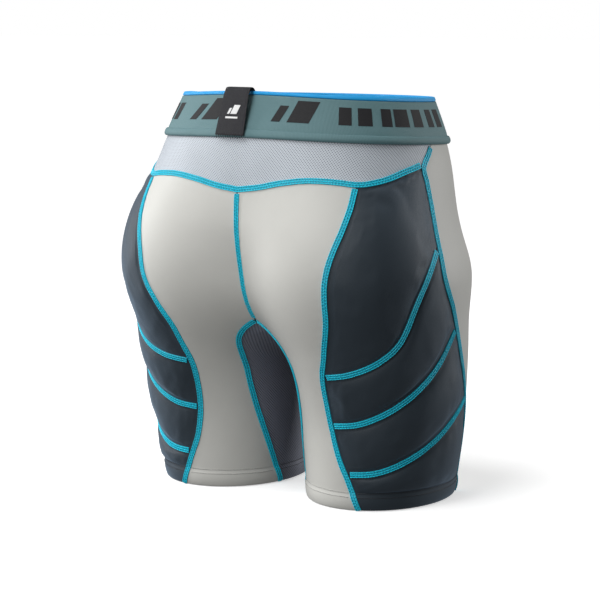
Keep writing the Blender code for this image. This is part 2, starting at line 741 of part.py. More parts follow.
def half_seams(word, side, lines, yoke):
    own_yoke = yoke if side > 0 else mirrored(yoke)
    seam(f"side_front_seam_{word}", lines["side_front"], side, [], SIDE_LEVELS)
    seam(f"side_back_seam_{word}", lines["side_back"], side, [own_yoke], SIDE_LEVELS)
    stops = [lines["side_back"], lines["side_front"]]
    for index in range(3):
        seam(f"pad_seam_{index + 1}_{word}", lines[f"pad_seam_{index + 1}"], side, stops)
    for way in ("back", "front"):
        line = own_side(lines[f"inseam_{way}"])
        seam(f"inseam_{way}_seam_{word}", line, side, [], MIDDLE_ROWS)


def seams():
    yoke = yoke_line()
    halves = {"left": seam_lines(1), "right": seam_lines(-1)}
    half_seams("left", 1, halves["left"], yoke)
    half_seams("right", -1, halves["right"], yoke)
    fronts = [halves["left"]["side_front"], mirrored(halves["right"]["side_front"])]
    seam("yoke_seam", yoke, 1, fronts)
    backs = [halves["left"]["inseam_back"], mirrored(halves["right"]["inseam_back"])]
    centre_back = middle_line(True, float(yoke_level(0.0)))
    seam("center_back_seam", centre_back, 1, [yoke] + backs, MIDDLE_ROWS)
    fore = [halves["left"]["inseam_front"], mirrored(halves["right"]["inseam_front"])]
    top = float(level(180.0, BAND_BOTTOM_LEVELS)) - 2.5 * MM
    seam("center_front_seam", middle_line(False, top), 1, fore, MIDDLE_ROWS + FRONT_ROWS)


def stitch_walls(side):
    """The upright seams near the hem that the hem stitching stops at."""
    z = np.linspace(0.0, 0.035, 36)
    return {
        "side_back": line_of(side_back(z, side), z),
        "side_front": line_of(side_front(z, side), z),
        "inseam_front": line_of(inseam(z, side, False), z),
        "inseam_back": line_of(inseam(z, side, True), z),
    }


def hem_stitches():
    z = HEM_STITCH_LEVEL
    for word, side in (("left", 1), ("right", -1)):
        walls = stitch_walls(side)
        back = float(side_back(z, side))
        front = float(side_front(z, side))
        inner_front = float(inseam(z, side, False))
        inner_back = float(inseam(z, side, True)) + 360.0
        spans = {
            "pad": (back, front, "side_back", "side_front"),
            "front": (front, inner_front, "side_front", "inseam_front"),
            "gusset": (inner_front, inner_back, "inseam_front", "inseam_back"),
            "back": (inner_back, back + 360.0, "inseam_back", "side_back"),
        }
        for piece, (start, end, first, second) in spans.items():
            angle = np.linspace(start, end, 80)
            line = line_of(angle, np.full_like(angle, z))
            line = clear_of(line, [walls[first], walls[second]], HEM_STITCH_WIDTH)
            size = (HEM_STITCH_WIDTH, HEM_STITCH_HEIGHT)
            ribbon(f"hem_stitch_{piece}_{word}", line, side, size, "hem")


# ---- waistband ------------------------------------------------------------------------
def band_ring(count, rise, offset, from_top):
    """One line round the waist, a height above the band's lower or below its upper edge."""
    angle = np.linspace(0.0, 360.0, count, endpoint=False)
    folded = np.where(angle > 180.0, 360.0 - angle, angle)
    levels = BAND_TOP_LEVELS if from_top else BAND_BOTTOM_LEVELS
    z = level(folded, levels) + rise
    points = body_point(folded, z)
    points[:, 0] *= np.where(angle > 180.0, -1.0, 1.0)
    return placed(points, np.full(count, offset))


def band_profile():
    """Cross-section of the elastic: place along its height and offset from the cloth."""
    inner = BAND_CLEARANCE
    outer = BAND_CLEARANCE + BAND_THICKNESS
    roll = BAND_ROLL_HEIGHT
    return [
        (roll * 0.5, outer + BAND_ROLL_RISE, False),
        (roll, outer + 0.3 * BAND_ROLL_RISE, False),
        (roll * 1.25, outer, False),
        (-0.5 * (level(90.0, BAND_TOP_LEVELS) - level(90.0, BAND_BOTTOM_LEVELS)), outer, True),
        (-TOP_EDGE_HEIGHT - GAP, outer, True),
        (-TOP_EDGE_HEIGHT - GAP, inner, True),
        (-0.5 * (level(90.0, BAND_TOP_LEVELS) - level(90.0, BAND_BOTTOM_LEVELS)), inner, True),
        (roll, inner, False),
        (0.0, inner, False),
        (0.0, outer + 0.6 * BAND_ROLL_RISE, False),
    ]


def waistband():
    rings = [band_ring(BAND_STATIONS, rise, offset, top) for rise, offset, top in band_profile()]
    tube("waistband_elastic", np.stack(rings, 1), "band", closed=True)
    inner = BAND_CLEARANCE
    outer = BAND_CLEARANCE + BAND_THICKNESS + TOP_EDGE_RISE
    section = [
        (-TOP_EDGE_HEIGHT, outer),
        (-0.3 * TOP_EDGE_HEIGHT, outer),
        (0.0, (inner + outer) / 2),
        (-0.3 * TOP_EDGE_HEIGHT, inner),
        (-TOP_EDGE_HEIGHT, inner),
    ]
    rings = [band_ring(BAND_STATIONS, rise, offset, True) for rise, offset in section]
    tube("waistband_top_edge", np.stack(rings, 1), "edge", closed=True)


def label_path():
    """Loop's centre line: height above the band's lower edge and offset from the cloth."""
    height = float(level(LABEL_ANGLE, BAND_TOP_LEVELS) - level(LABEL_ANGLE, BAND_BOTTOM_LEVELS))
    half = LABEL_THICKNESS / 2
    out = BAND_CLEARANCE + BAND_THICKNESS + BAND_ROLL_RISE + GAP + half
    within = -GAP - half - 0.2 * MM
    path = [(0.02 * height, out), (0.12 * height, out + 0.1 * LABEL_BULGE)]
    path += [(0.3 * height, out + 0.3 * LABEL_BULGE), (0.5 * height, out + 0.6 * LABEL_BULGE)]
    path += [(0.7 * height, out + 0.85 * LABEL_BULGE), (0.88 * height, out + LABEL_BULGE)]
    top = height + LABEL_RISE
    path += [(0.97 * height, out + 0.93 * LABEL_BULGE), (top - 0.6 * MM, out + 0.6 * LABEL_BULGE)]
    path += [(top, 0.5 * (out + within) + 0.25 * LABEL_BULGE), (top - 1.0 * MM, 0.35 * out)]
    path += [(height - 1.5 * MM, within), (0.7 * height, within), (0.45 * height, within)]
    return path


def loop_label():
    """Ribbon folded over the band's top edge, a little left of the centre back."""
    path = np.array(label_path())
    base_z = float(level(LABEL_ANGLE, BAND_BOTTOM_LEVELS))
    mid = body_point(LABEL_ANGLE, base_z + 0.02)
    spread = math.degrees(LABEL_WIDTH / 2 / math.hypot(mid[0], mid[1]))
    turned = np.gradient(path, axis=0)
    turned /= np.linalg.norm(turned, axis=1, keepdims=True)
    push = np.stack([turned[:, 1], -turned[:, 0]], -1) * LABEL_THICKNESS / 2
    rings = []
    face = [(share, 1) for share in (-1, -0.5, 0, 0.5, 1)]
    for width_share, sign in face + [(share, -1) for share, _ in reversed(face)]:
        at = path - sign * push
        z = np.clip(base_z + at[:, 0], 0.0, None)
        angle = LABEL_ANGLE + width_share * spread
        line = body_point(np.abs(angle), np.minimum(z, level(angle, BAND_TOP_LEVELS)))
        line[:, 0] *= 1.0 if angle >= 0 else -1.0
        extra = np.maximum(z - level(angle, BAND_TOP_LEVELS), 0.0)
        p = placed(line, at[:, 1])
        p[:, 2] += extra
        rings.append(p)
    tube("loop_label", np.stack(rings, 1), "label")


# ---- build ----------------------------------------------------------------------------
def build():
    clear_scene()
    for word, side in (("left", 1), ("right", -1)):
        back_panel(side, word)
        front_panel(side, word)
        for index in range(4):
            pad_cover(index, side, word)
            foam_pad(index, side, word)
        pad_lining(side, word)
    back_yoke()
    gusset()
    seams()
    hem_stitches()
    waistband()
    loop_label()


build()
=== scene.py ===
"""Looks of the padded impact shorts.

Metres, +Z up.  The wearer faces -Y, so the back is +Y and the wearer's left is +X.
A place on one half of the garment is given by a height and an angle.
The angle is 0 at the back, 90 at the outer side, 180 at the front and 270 inside the leg.
"""
import math

import bmesh
import bpy
import numpy as np
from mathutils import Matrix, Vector


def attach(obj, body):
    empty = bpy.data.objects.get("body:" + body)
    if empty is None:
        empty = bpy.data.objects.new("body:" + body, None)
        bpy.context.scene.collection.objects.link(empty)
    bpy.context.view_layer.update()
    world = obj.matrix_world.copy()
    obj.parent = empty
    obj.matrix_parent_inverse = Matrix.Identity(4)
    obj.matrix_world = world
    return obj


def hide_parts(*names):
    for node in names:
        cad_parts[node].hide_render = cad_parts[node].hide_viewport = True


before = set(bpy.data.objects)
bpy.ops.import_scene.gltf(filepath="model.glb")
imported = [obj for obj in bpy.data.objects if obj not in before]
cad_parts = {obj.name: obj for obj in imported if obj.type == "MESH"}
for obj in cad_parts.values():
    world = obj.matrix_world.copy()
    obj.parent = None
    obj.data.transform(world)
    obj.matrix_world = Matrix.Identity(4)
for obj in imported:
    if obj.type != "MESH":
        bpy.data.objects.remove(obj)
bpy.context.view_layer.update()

MM = 0.001

# ---- overall form ----
TORSO_HEIGHTS = [0.100, 0.200, 0.270, 0.335, 0.385]
TORSO_HALF_WIDTHS = [0.170, 0.154, 0.154, 0.142, 0.120]
TORSO_FRONT_DEPTHS = [0.095, 0.106, 0.104, 0.104, 0.104]
TORSO_BACK_DEPTHS = [0.095, 0.097, 0.112, 0.105, 0.086]
TORSO_SQUARENESS = 2.3
CROTCH_HEIGHT = 0.146
CROTCH_ROUNDING = 0.065

LEG_HEIGHTS = [0.000, 0.070, 0.140, 0.210]
LEG_CENTRES_X = [0.085, 0.089, 0.090, 0.090]
LEG_CENTRES_Y = [-0.006, -0.002, 0.003, 0.004]
LEG_HALF_WIDTHS = [0.067, 0.076, 0.079, 0.079]
LEG_HALF_DEPTHS = [0.080, 0.082, 0.094, 0.092]
LEG_TOP = 0.210
LEG_TOP_ROUNDING = 0.060

SEAT_CENTRE = (0.078, 0.056, 0.226)
SEAT_RADII = (0.078, 0.069, 0.088)
LEG_BLEND = 0.050
SEAT_BLEND = 0.060
LOWEST_AXIS_SHIFT = 0.140
HIGHEST_AXIS_SHIFT = 0.280
DEPTH_SHIFT = -0.0094
MIDDLE_REACH = 0.2

# ---- cloth, pads and clearances ----
GAP = 0.3 * MM
EDGE_GAP = 1.6 * MM
PANEL_THICKNESS = 1.2 * MM
COVER_THICKNESS = 0.8 * MM
LINING_THICKNESS = 0.8 * MM
PAD_RISE = 3.2 * MM
PAD_SINK = 2.0 * MM
SEAM_SHOULDER = 3.8 * MM
LINING_GAP = 0.5 * MM
HEM_HEIGHT = 16.5 * MM
HEM_THICKNESS = 2.4 * MM
HEM_ROLL = 1.4 * MM
HEM_TAPER = 1.5 * MM
LEG_TURN = 5.5
TURN_TOP = 0.220
TURN_FADE = 0.060
INSEAM_TURN_FADE = 0.050

# ---- seam lines: angle at each height, or height across a panel ----
SIDE_BACK_HEIGHTS = [0.000, 0.025, 0.050, 0.077, 0.104, 0.130]
SIDE_BACK_HEIGHTS += [0.160, 0.188, 0.208, 0.232, 0.265, 0.310]
SIDE_BACK_ANGLES = [11.0, 4.0, -4.0, -8.5, -9.5, -8.0]
SIDE_BACK_ANGLES += [0.0, 14.5, 24.5, 34.0, 45.0, 53.0]
SIDE_FRONT_HEIGHTS = [0.000, 0.040, 0.080, 0.114, 0.148, 0.168, 0.190]
SIDE_FRONT_HEIGHTS += [0.216, 0.250, 0.284, 0.306, 0.320, 0.330, 0.350]
SIDE_FRONT_ANGLES = [123.0, 119.0, 112.0, 104.0, 94.0, 88.0, 83.5]
SIDE_FRONT_ANGLES += [80.0, 80.5, 82.0, 82.0, 82.0, 86.5, 95.0]
YOKE_END_ANGLE = SIDE_FRONT_ANGLES[11]
INSEAM_HEIGHTS = [0.000, 0.040, 0.080]
INSEAM_HEIGHTS += [CROTCH_HEIGHT + rise * MM for rise in (-36, -6, 10, 20, 26)]
INSEAM_BACK_ANGLES = [-67.0, -57.0, -48.0, -43.0, -40.0, -40.0, -42.0]
INSEAM_FRONT_ANGLES = [247.0, 237.0, 228.0, 223.0, 219.5, 219.0, 219.5]
YOKE_ANGLES = [0.0, 12.0, 24.0, 36.0, 46.0, 53.0, 62.0, 72.0, 82.0]
YOKE_HEIGHTS = [0.298, 0.301, 0.306, 0.309, 0.308, 0.306, 0.309, 0.316, 0.322]
PAD_SEAM_HEIGHTS = [
    [0.128, 0.133, 0.145, 0.166, 0.205, 0.250],
    [0.080, 0.084, 0.096, 0.114, 0.138, 0.170],
    [0.034, 0.037, 0.048, 0.064, 0.083, 0.099],
]
PAD_NAMES = ["upper", "middle", "lower", "hem"]
SIDES = (("left", 1), ("right", -1))

# ---- seams and stitching ----
SEAM_WIDTH = 5.6 * MM
HEM_STITCH_WIDTH = 4.0 * MM
HEM_STITCH_LEVEL = HEM_HEIGHT - 1.5 * MM
HEM_SEARCH_HEIGHT = 35.0 * MM

# ---- waistband and label ----
BAND_TOP_LEVELS = (0.388, 0.381, 0.379)
BAND_BOTTOM_LEVELS = (0.345, 0.338, 0.333)
BAND_TUCK = 8.0 * MM
BAND_THICKNESS = 2.0 * MM
BAND_CLEARANCE = 0.5 * MM
BAND_FACE = BAND_CLEARANCE + BAND_THICKNESS
SEAM_STOP_BELOW_BAND = 2.5 * MM
BAND_ROLL_HEIGHT = 7.0 * MM
BAND_ROLL_RISE = 1.6 * MM
TOP_EDGE_HEIGHT = 4.0 * MM
TOP_EDGE_RISE = 0.3 * MM
LABEL_ANGLE = 7.5
LABEL_WIDTH = 30.0 * MM
LABEL_THICKNESS = 0.8 * MM
LABEL_BULGE = 5.0 * MM
LABEL_RISE = 3.0 * MM

# ---- detail of the finished cloth ----
FINE = 3.2 * MM
THREAD_PITCH = 2.6 * MM
COVER_PITCH = 1.5 * MM
THREAD_RADIUS = 0.40 * MM
COVER_RADIUS = 0.27 * MM
CORE_RISE = 0.55 * MM
UNDER_TAPE = 0.7 * MM
HEM_STITCH_PITCH = 3.0 * MM
HEM_THREAD_RADIUS = 0.26 * MM
WRINKLE = 0.22 * MM
WRINKLE_REACH = 6.0 * MM
WRINKLE_START = 1.5 * MM
WRINKLE_HEM_REACH = 4.0 * MM
FOLD_HEIGHT = 1.3 * MM
MOST_PUFF = 2.4 * MM
CROWDING = 1.25
SIDE_PANEL_WIDTH = 0.14
BAND_ANGLES = np.linspace(0.0, 360.0, 288, endpoint=False)
MARK_RISE = 0.25 * MM
LABEL_MARK_RISE = 0.1 * MM
KNIT_PITCH = 1.0 * MM
HOLE_PITCH = 2.7 * MM

# ---- stage, lights and camera sizes ----
TARGET = (0.0, DEPTH_SHIFT, 0.200)
CAMERA_AZIMUTH = 214.0
CAMERA_ELEVATION = 7.8
CAMERA_DISTANCE = 1.9
FOCAL_LENGTH = 116.58
CAMERA_SHIFT = (-0.0083, -0.0317)
FLOOR_LEVEL = -0.0005
WORLD_STRENGTH = 0.17
BACKDROP_STRENGTH = 1.0
FLOOR_GLOW = 0.46

# name, azimuth, elevation, distance, width and power of each softbox
SOFTBOXES = (
    ("left_strip", 104, 12, 1.7, 0.50, 19.0),
    ("key", 176, 22, 1.9, 1.00, 16.0),
    ("right_strip", 318, 12, 1.7, 0.35, 15.0),
)
SOFTBOX_HEIGHT = 1.3
# azimuth, elevation, strength and angle
SUN = (146, 62, 1.9, 40)


# ---- formulas of the form, the same as the solid model's ----
def profile(at, knots, values):
    """Smooth curve through the values at the knots."""
    k = np.asarray(knots, float)
    v = np.asarray(values, float)
    slope = np.gradient(v, k)
    at = np.clip(at, k[0], k[-1])
    i = np.clip(np.searchsorted(k, at) - 1, 0, len(k) - 2)
    step = k[i + 1] - k[i]
    t = (at - k[i]) / step
    near = (2 * t**3 - 3 * t**2 + 1) * v[i] + (t**3 - 2 * t**2 + t) * step * slope[i]
    far = (3 * t**2 - 2 * t**3) * v[i + 1] + (t**3 - t**2) * step * slope[i + 1]
    return near + far


def smooth_step(t):
    t = np.clip(t, 0.0, 1.0)
    return t * t * (3 - 2 * t)


def unit(vectors):
    return vectors / (np.linalg.norm(vectors, axis=-1, keepdims=True) + 1e-12)


def distances(line):
    """Distance of every point of a line from its start, measured along it."""
    return np.concatenate([[0.0], np.cumsum(np.linalg.norm(np.diff(line, axis=0), axis=1))])


def smooth_union(a, b, reach):
    h = np.maximum(reach - np.abs(a - b), 0.0) / reach
    return np.minimum(a, b) - h**3 * reach / 6


def rounded(x, y, end, radii, power):
    """Distance from an oval column that closes with a rounded end; negative inside."""
    half_width, half_depth, rounding = radii
    ring = (np.abs(x / half_width) ** power + np.abs(y / half_depth) ** power) ** (2 / power)
    scaled = np.sqrt(ring + (end / rounding) ** 2) + 1e-9
    return np.sqrt(x * x + y * y + end * end) * (1 - 1 / scaled)


def torso_field(x, y, z):
    sizes = (TORSO_HALF_WIDTHS, TORSO_FRONT_DEPTHS, TORSO_BACK_DEPTHS)
    width, front, back = (profile(z, TORSO_HEIGHTS, values) for values in sizes)
    depth = np.where(y > 0, back, front)
    end = np.maximum(CROTCH_HEIGHT + CROTCH_ROUNDING - z, 0.0)
    return rounded(x, y, end, (width, depth, CROTCH_ROUNDING), TORSO_SQUARENESS)


def leg_field(x, y, z):
    sizes = (LEG_CENTRES_X, LEG_CENTRES_Y, LEG_HALF_WIDTHS, LEG_HALF_DEPTHS)
    cx, cy, width, depth = (profile(z, LEG_HEIGHTS, values) for values in sizes)
    end = np.maximum(z - LEG_TOP, 0.0)
    return rounded(x - cx, y - cy, end, (width, depth, LEG_TOP_ROUNDING), 2.0)


def seat_field(x, y, z):
    dx = x - SEAT_CENTRE[0]
    dy = y - SEAT_CENTRE[1]
    dz = z - SEAT_CENTRE[2]
    ring = (dx / SEAT_RADII[0]) ** 2 + (dy / SEAT_RADII[1]) ** 2
    scaled = np.sqrt(ring + (dz / SEAT_RADII[2]) ** 2)
    return np.sqrt(dx * dx + dy * dy + dz * dz) * (1 - 1 / (scaled + 1e-9))


def body_field(x, y, z):
    """Negative inside the wearer's form, zero on the outer face of the cloth."""
    x = np.abs(x)
    trunk = smooth_union(torso_field(x, y, z), leg_field(x, y, z), LEG_BLEND)
    return smooth_union(trunk, seat_field(x, y, z), SEAT_BLEND)


def body_normal(points):
    step = 0.4 * MM
    grad = np.zeros_like(points)
    for axis in range(3):
        shift = np.zeros(3)
        shift[axis] = step
        ahead = np.moveaxis(points + shift, -1, 0)
        behind = np.moveaxis(points - shift, -1, 0)
        grad[..., axis] = body_field(*ahead) - body_field(*behind)
    return unit(grad)


def onto_body(points):
    """Move points along the form's normal until they lie on it."""
    p = np.array(points, float)
    for _ in range(8):
        n = body_normal(p)
        here = body_field(*np.moveaxis(p, -1, 0))
        ahead = body_field(*np.moveaxis(p + n * 0.5 * MM, -1, 0))
        rate = np.maximum((ahead - here) / (0.5 * MM), 0.3)
        p = p - n * (here / rate)[..., None]
    return p


def axis_at(z):
    """Centre that the angles are measured from: mid-body above, leg centre below."""
    t = smooth_step((HIGHEST_AXIS_SHIFT - z) / (HIGHEST_AXIS_SHIFT - LOWEST_AXIS_SHIFT))
    return profile(z, LEG_HEIGHTS, LEG_CENTRES_X) * t, profile(z, LEG_HEIGHTS, LEG_CENTRES_Y) * t


def cast(start, direction, reach):
    """First point of the form's face along each ray from inside it."""
    low = np.zeros(reach.shape)
    high = reach.copy()
    for _ in range(34):
        mid = (low + high) / 2
        p = start + direction * mid[..., None]
        inside = body_field(*np.moveaxis(p, -1, 0)) < 0
        low = np.where(inside, mid, low)
        high = np.where(inside, high, mid)
    return start + direction * ((low + high) / 2)[..., None]


def cast_straight(start, axis, way, reach):
    """First point of the form's face from each start, along one axis."""
    direction = np.zeros_like(start)
    direction[..., axis] = way
    return cast(start, direction, np.full(start.shape[:-1], reach))


def body_point(angle, z):
    """Points of the left half at the angles and heights."""
    angle, z = np.broadcast_arrays(np.asarray(angle, float), np.asarray(z, float))
    cx, cy = axis_at(z)
    rad = np.radians(angle)
    direction = np.stack([np.sin(rad), np.cos(rad), np.zeros_like(rad)], -1)
    inward = np.maximum(-direction[..., 0], 1e-6)
    reach = np.where(direction[..., 0] < -1e-6, np.minimum(0.3, cx / inward), 0.3)
    return cast(np.stack([cx, cy, z], -1), direction, np.maximum(reach, 1e-6))


def middle_angle(z, back):
    """Angle of the centre-back or centre-front line at each height, a little off the middle."""
    z = np.asarray(z, float)
    start = np.stack([np.full_like(z, EDGE_GAP / 2), np.zeros_like(z), z], -1)
    p = cast_straight(start, 1, 1.0 if back else -1.0, MIDDLE_REACH)
    cx, cy = axis_at(z)
    angle = np.degrees(np.arctan2(p[..., 0] - cx, p[..., 1] - cy))
    return angle if back else np.where(angle < 90, angle + 360, angle)


def underside(y):
    """Points of the crotch line on the middle plane at each depth."""
    y = np.asarray(y, float)
    start = np.stack([np.zeros_like(y), y, np.full_like(y, CROTCH_HEIGHT + CROTCH_ROUNDING)], -1)
    return cast_straight(start, 2, -1.0, CROTCH_ROUNDING + CROTCH_HEIGHT / 2)


def turn(z, side):
    """Small turn of the leg cloth about the leg, in degrees of angle."""
    return -side * LEG_TURN * smooth_step((TURN_TOP - np.asarray(z, float)) / TURN_FADE)


def level(angle, levels):
    """Height that goes smoothly from the back over the side to the front."""
    c = np.cos(np.radians(angle))
    middle = (levels[0] + levels[2]) / 2
    return middle + (levels[0] - levels[2]) / 2 * c + (levels[1] - middle) * (1 - c * c)


def side_back(z, side):
    return profile(z, SIDE_BACK_HEIGHTS, SIDE_BACK_ANGLES) + turn(z, side)


def side_front(z, side):
    return profile(z, SIDE_FRONT_HEIGHTS, SIDE_FRONT_ANGLES) + turn(z, side)


def inseam(z, side, back):
    """Inseam angle; it meets the middle line at its highest point."""
    angles = INSEAM_BACK_ANGLES if back else INSEAM_FRONT_ANGLES
    end = float(middle_angle(np.array(INSEAM_HEIGHTS[-1]), back))
    t = smooth_step((INSEAM_HEIGHTS[-2] - np.asarray(z, float)) / INSEAM_TURN_FADE)
    return profile(z, INSEAM_HEIGHTS, angles + [end]) - side * LEG_TURN * t


def yoke_level(angle):
    return profile(np.abs(angle), YOKE_ANGLES, YOKE_HEIGHTS)


def hem_roll(z):
    """How far the turned-up hem stands out of the leg."""
    t = np.clip(np.asarray(z, float) / HEM_HEIGHT, 0.0, 1.0)
    return HEM_ROLL * np.sin(math.pi * t) ** 0.7 + 0.4 * MM * (1 - t)


def placed(points, offset, side=1):
    """Points moved out of the form by the offset; the lowest row stays level."""
    n = body_normal(points)
    low = points[..., 2] < 1e-6
    flat = unit(n * np.array([1.0, 1.0, 0.0]))
    n = np.where(low[..., None], flat, n)
    out = points + n * (offset + hem_roll(points[..., 2]))[..., None]
    out[..., 1] += DEPTH_SHIFT
    out[..., 0] *= side
    return out


def degrees_of(length, z):
    """Angle that a short length across the leg or body takes up."""
    return np.degrees(length / (0.075 + 0.35 * np.clip(np.asarray(z, float) - 0.12, 0.0, 0.16)))


# ---- seam lines ----
JUNCTION_HEIGHT = INSEAM_HEIGHTS[-1]
TOP_BLEND_START = 0.200


def middle_edge(z, side, back):
    """Inner edge of a panel: the inseam on the leg, the middle line above it."""
    above = middle_angle(np.maximum(z, JUNCTION_HEIGHT + 0.1 * MM), back)
    below = inseam(np.minimum(z, JUNCTION_HEIGHT), side, back)
    gap = degrees_of(EDGE_GAP / 2, z) * (1 if back else -1)
    return np.where(z > JUNCTION_HEIGHT, above, below + gap)


def panel_grid(rows, near_edge, far_edge, top, columns):
    """Grid of points between two seam lines, up to a top line that may slope."""
    rows = np.asarray(rows, float)
    near_top = near_edge(rows[-1:])[0]
    far_top = far_edge(rows[-1:])[0]
    far_top = far_edge(np.array([float(top(far_top))]))[0]
    u = np.linspace(0.0, 1.0, columns)
    tops = top(near_top * (1 - u) + far_top * u)
    s = smooth_step((rows - TOP_BLEND_START) / (rows[-1] - TOP_BLEND_START))
    z = rows[:, None] + s[:, None] * (tops[None, :] - rows[-1])
    near = near_edge(z[:, 0])
    far = far_edge(z[:, -1])
    angle = near[:, None] * (1 - u) + far[:, None] * u
    return body_point(angle, z)


def crotch_ends():
    """Depths where the inseams reach the middle plane, at the back and at the front."""
    places = []
    for back in (True, False):
        start = np.array([[0.0, 0.0, JUNCTION_HEIGHT]])
        p = cast_straight(start, 1, 1.0 if back else -1.0, MIDDLE_REACH)[0]
        places.append(p[1] + (-EDGE_GAP if back else EDGE_GAP))
    return places


def patch(near, far, first, last, t):
    """Grid between two side lines and two end lines."""
    h = distances(near)
    h = (h / h[-1])[:, None, None]
    t = t[None, :, None]
    sides = near[:, None, :] * (1 - t) + far[:, None, :] * t
    ends = first[None] * (1 - h) + last[None] * h
    low = first[0] * (1 - t) + first[-1] * t
    high = last[0] * (1 - t) + last[-1] * t
    return sides + ends - low * (1 - h) - high * h


def pad_line(index, u):
    """Heights of a line across the side panel at shares of its width."""
    if index < 0:
        return yoke_level(SIDE_BACK_ANGLES[-1] * (1 - u) + YOKE_END_ANGLE * u)
    return profile(u, np.linspace(0.0, 1.0, 6), PAD_SEAM_HEIGHTS[index])


def dense(points, step=1.0 * MM):
    """The same line with a point about every step."""
    length = distances(points)
    count = max(int(length[-1] / step), 4)
    at = np.linspace(0.0, length[-1], count + 1)
    return np.stack([np.interp(at, length, points[:, i]) for i in range(3)], -1)


def sideways(line):
    """Directions across a line, flat on the form."""
    return unit(np.cross(unit(np.gradient(line, axis=0)), body_normal(line)))


def clear_of(line, others, width):
    """Shorten the line at its ends until its corners clear the lines it meets."""
    across = sideways(line) * width / 2
    reach = SEAM_WIDTH / 2 + GAP
    near = np.zeros(len(line), bool)
    for other in others:
        for corner in (line - across, line, line + across):
            apart = np.linalg.norm(corner[:, None, :] - other[None, :, :], axis=2).min(axis=1)
            near |= apart < reach
    free = np.flatnonzero(~near)
    runs = np.split(free, np.flatnonzero(np.diff(free) > 1) + 1)
    longest = max(runs, key=len)
    return line[longest[0] : longest[-1] + 1]


def line_of(angle, z):
    return dense(onto_body(body_point(angle, z)))


def upright_lines(side, z_back, z_front, z_in):
    """Centre lines of one half's four upright seams at the given heights."""
    return {
        "side_back": line_of(side_back(z_back, side), z_back),
        "side_front": line_of(side_front(z_front, side), z_front),
        "inseam_back": line_of(inseam(z_in, side, True), z_in),
        "inseam_front": line_of(inseam(z_in, side, False), z_in),
    }


def seam_lines(side):
    """All seam centre lines of one half, in the left half's frame."""
    up = np.linspace(0.0, 1.0, 60)
    z_back = up * float(yoke_level(SIDE_BACK_ANGLES[-1]))
    z_front = up * (float(level(88.0, BAND_BOTTOM_LEVELS)) - SEAM_STOP_BELOW_BAND)
    lines = upright_lines(side, z_back, z_front, up * JUNCTION_HEIGHT)
    for index in range(3):
        z = pad_line(index, up)
        angle = side_back(z[0], side) * (1 - up) + side_front(z[-1], side) * up
        lines[f"pad_seam_{index + 1}"] = line_of(angle, z)
    return lines


def yoke_line():
    angle = np.linspace(-YOKE_END_ANGLE, YOKE_END_ANGLE, 121)
    points = body_point(np.abs(angle), yoke_level(angle))
    points[:, 0] *= np.where(angle < 0, -1.0, 1.0)
    return dense(points)


def middle_line(back, top):
    z = np.linspace(JUNCTION_HEIGHT, top, 60)
    start = np.stack([np.zeros_like(z), np.zeros_like(z), z], -1)
    return dense(cast_straight(start, 1, 1.0 if back else -1.0, MIDDLE_REACH))


def mirrored(line):
    return line * np.array([-1.0, 1.0, 1.0])


# ---- mesh helpers ----
def linked(name, data):
    """New object in the scene."""
    ob = bpy.data.objects.new(name, data)
    bpy.context.scene.collection.objects.link(ob)
    return ob


def add_piece(name, verts, faces, finish, uvs=None, light_shares=None, sharp=50.0):
    """One closed piece with smooth faces, riding on the part's body."""
    mesh = bpy.data.meshes.new(name)
    mesh.from_pydata(np.asarray(verts, float).tolist(), [], faces)
    bm = bmesh.new()
    bm.from_mesh(mesh)
    bmesh.ops.recalc_face_normals(bm, faces=bm.faces[:])
    bm.to_mesh(mesh)
    bm.free()
    corner = np.zeros(len(mesh.loops), int)
    mesh.loops.foreach_get("vertex_index", corner)
    if uvs is not None:
        layer = mesh.uv_layers.new(name="Cloth")
        layer.uv.foreach_set("vector", np.asarray(uvs, float)[corner].ravel())
    # share of light per vertex: below 1 it paints shade into the thread colour
    if light_shares is not None:
        layer = mesh.attributes.new("light_share", "FLOAT", "POINT")
        layer.data.foreach_set("value", np.asarray(light_shares, float))
    mesh.shade_smooth()
    mesh.set_sharp_from_angle(angle=math.radians(sharp))
    mesh.materials.append(finish)
    ob = linked(name, mesh)
    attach(ob, "root")
    return ob


def stand_in(node):
    """The piece shows in place of a node of the solid model."""
    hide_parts(node)


def sewn_in(node):
    """The piece, a sheet stretched over the wearer, shows in place of a node of the solid model."""
    stand_in(node)


def quads(rows, cols, wrap_rows=False, wrap_cols=False):
    """Faces of a grid of vertices, optionally joined round in either direction."""
    r = np.arange(rows if wrap_rows else rows - 1)[:, None]
    c = np.arange(cols if wrap_cols else cols - 1)[None, :]
    next_row = (r + 1) % rows * cols
    next_col = (c + 1) % cols
    face = np.stack([r * cols + c, r * cols + next_col, next_row + next_col, next_row + c], -1)
    return face.reshape(-1, 4)


def rim_of(rows, cols):
    """Indices round the edge of a grid."""
    rim = list(range(cols))
    rim += [r * cols + cols - 1 for r in range(1, rows)]
    rim += [(rows - 1) * cols + c for c in range(cols - 2, -1, -1)]
    rim += [r * cols for r in range(rows - 2, 0, -1)]
    return rim


def shell_faces(rows, cols):
    """Faces of a thin solid: two grids of vertices, joined round their rims."""
    half = rows * cols
    front = quads(rows, cols)
    rim = rim_of(rows, cols)
    sides = [(b, a, half + a, half + b) for a, b in zip(rim, rim[1:] + rim[:1])]
    return front.tolist() + (front[:, ::-1] + half).tolist() + sides


def tube_faces(rings, sides):
    """Faces of a tube with closed ends."""
    last = (rings - 1) * sides
    ends = [list(range(sides)), list(range(last, last + sides))]
    return quads(rings, sides, wrap_cols=True).tolist() + ends


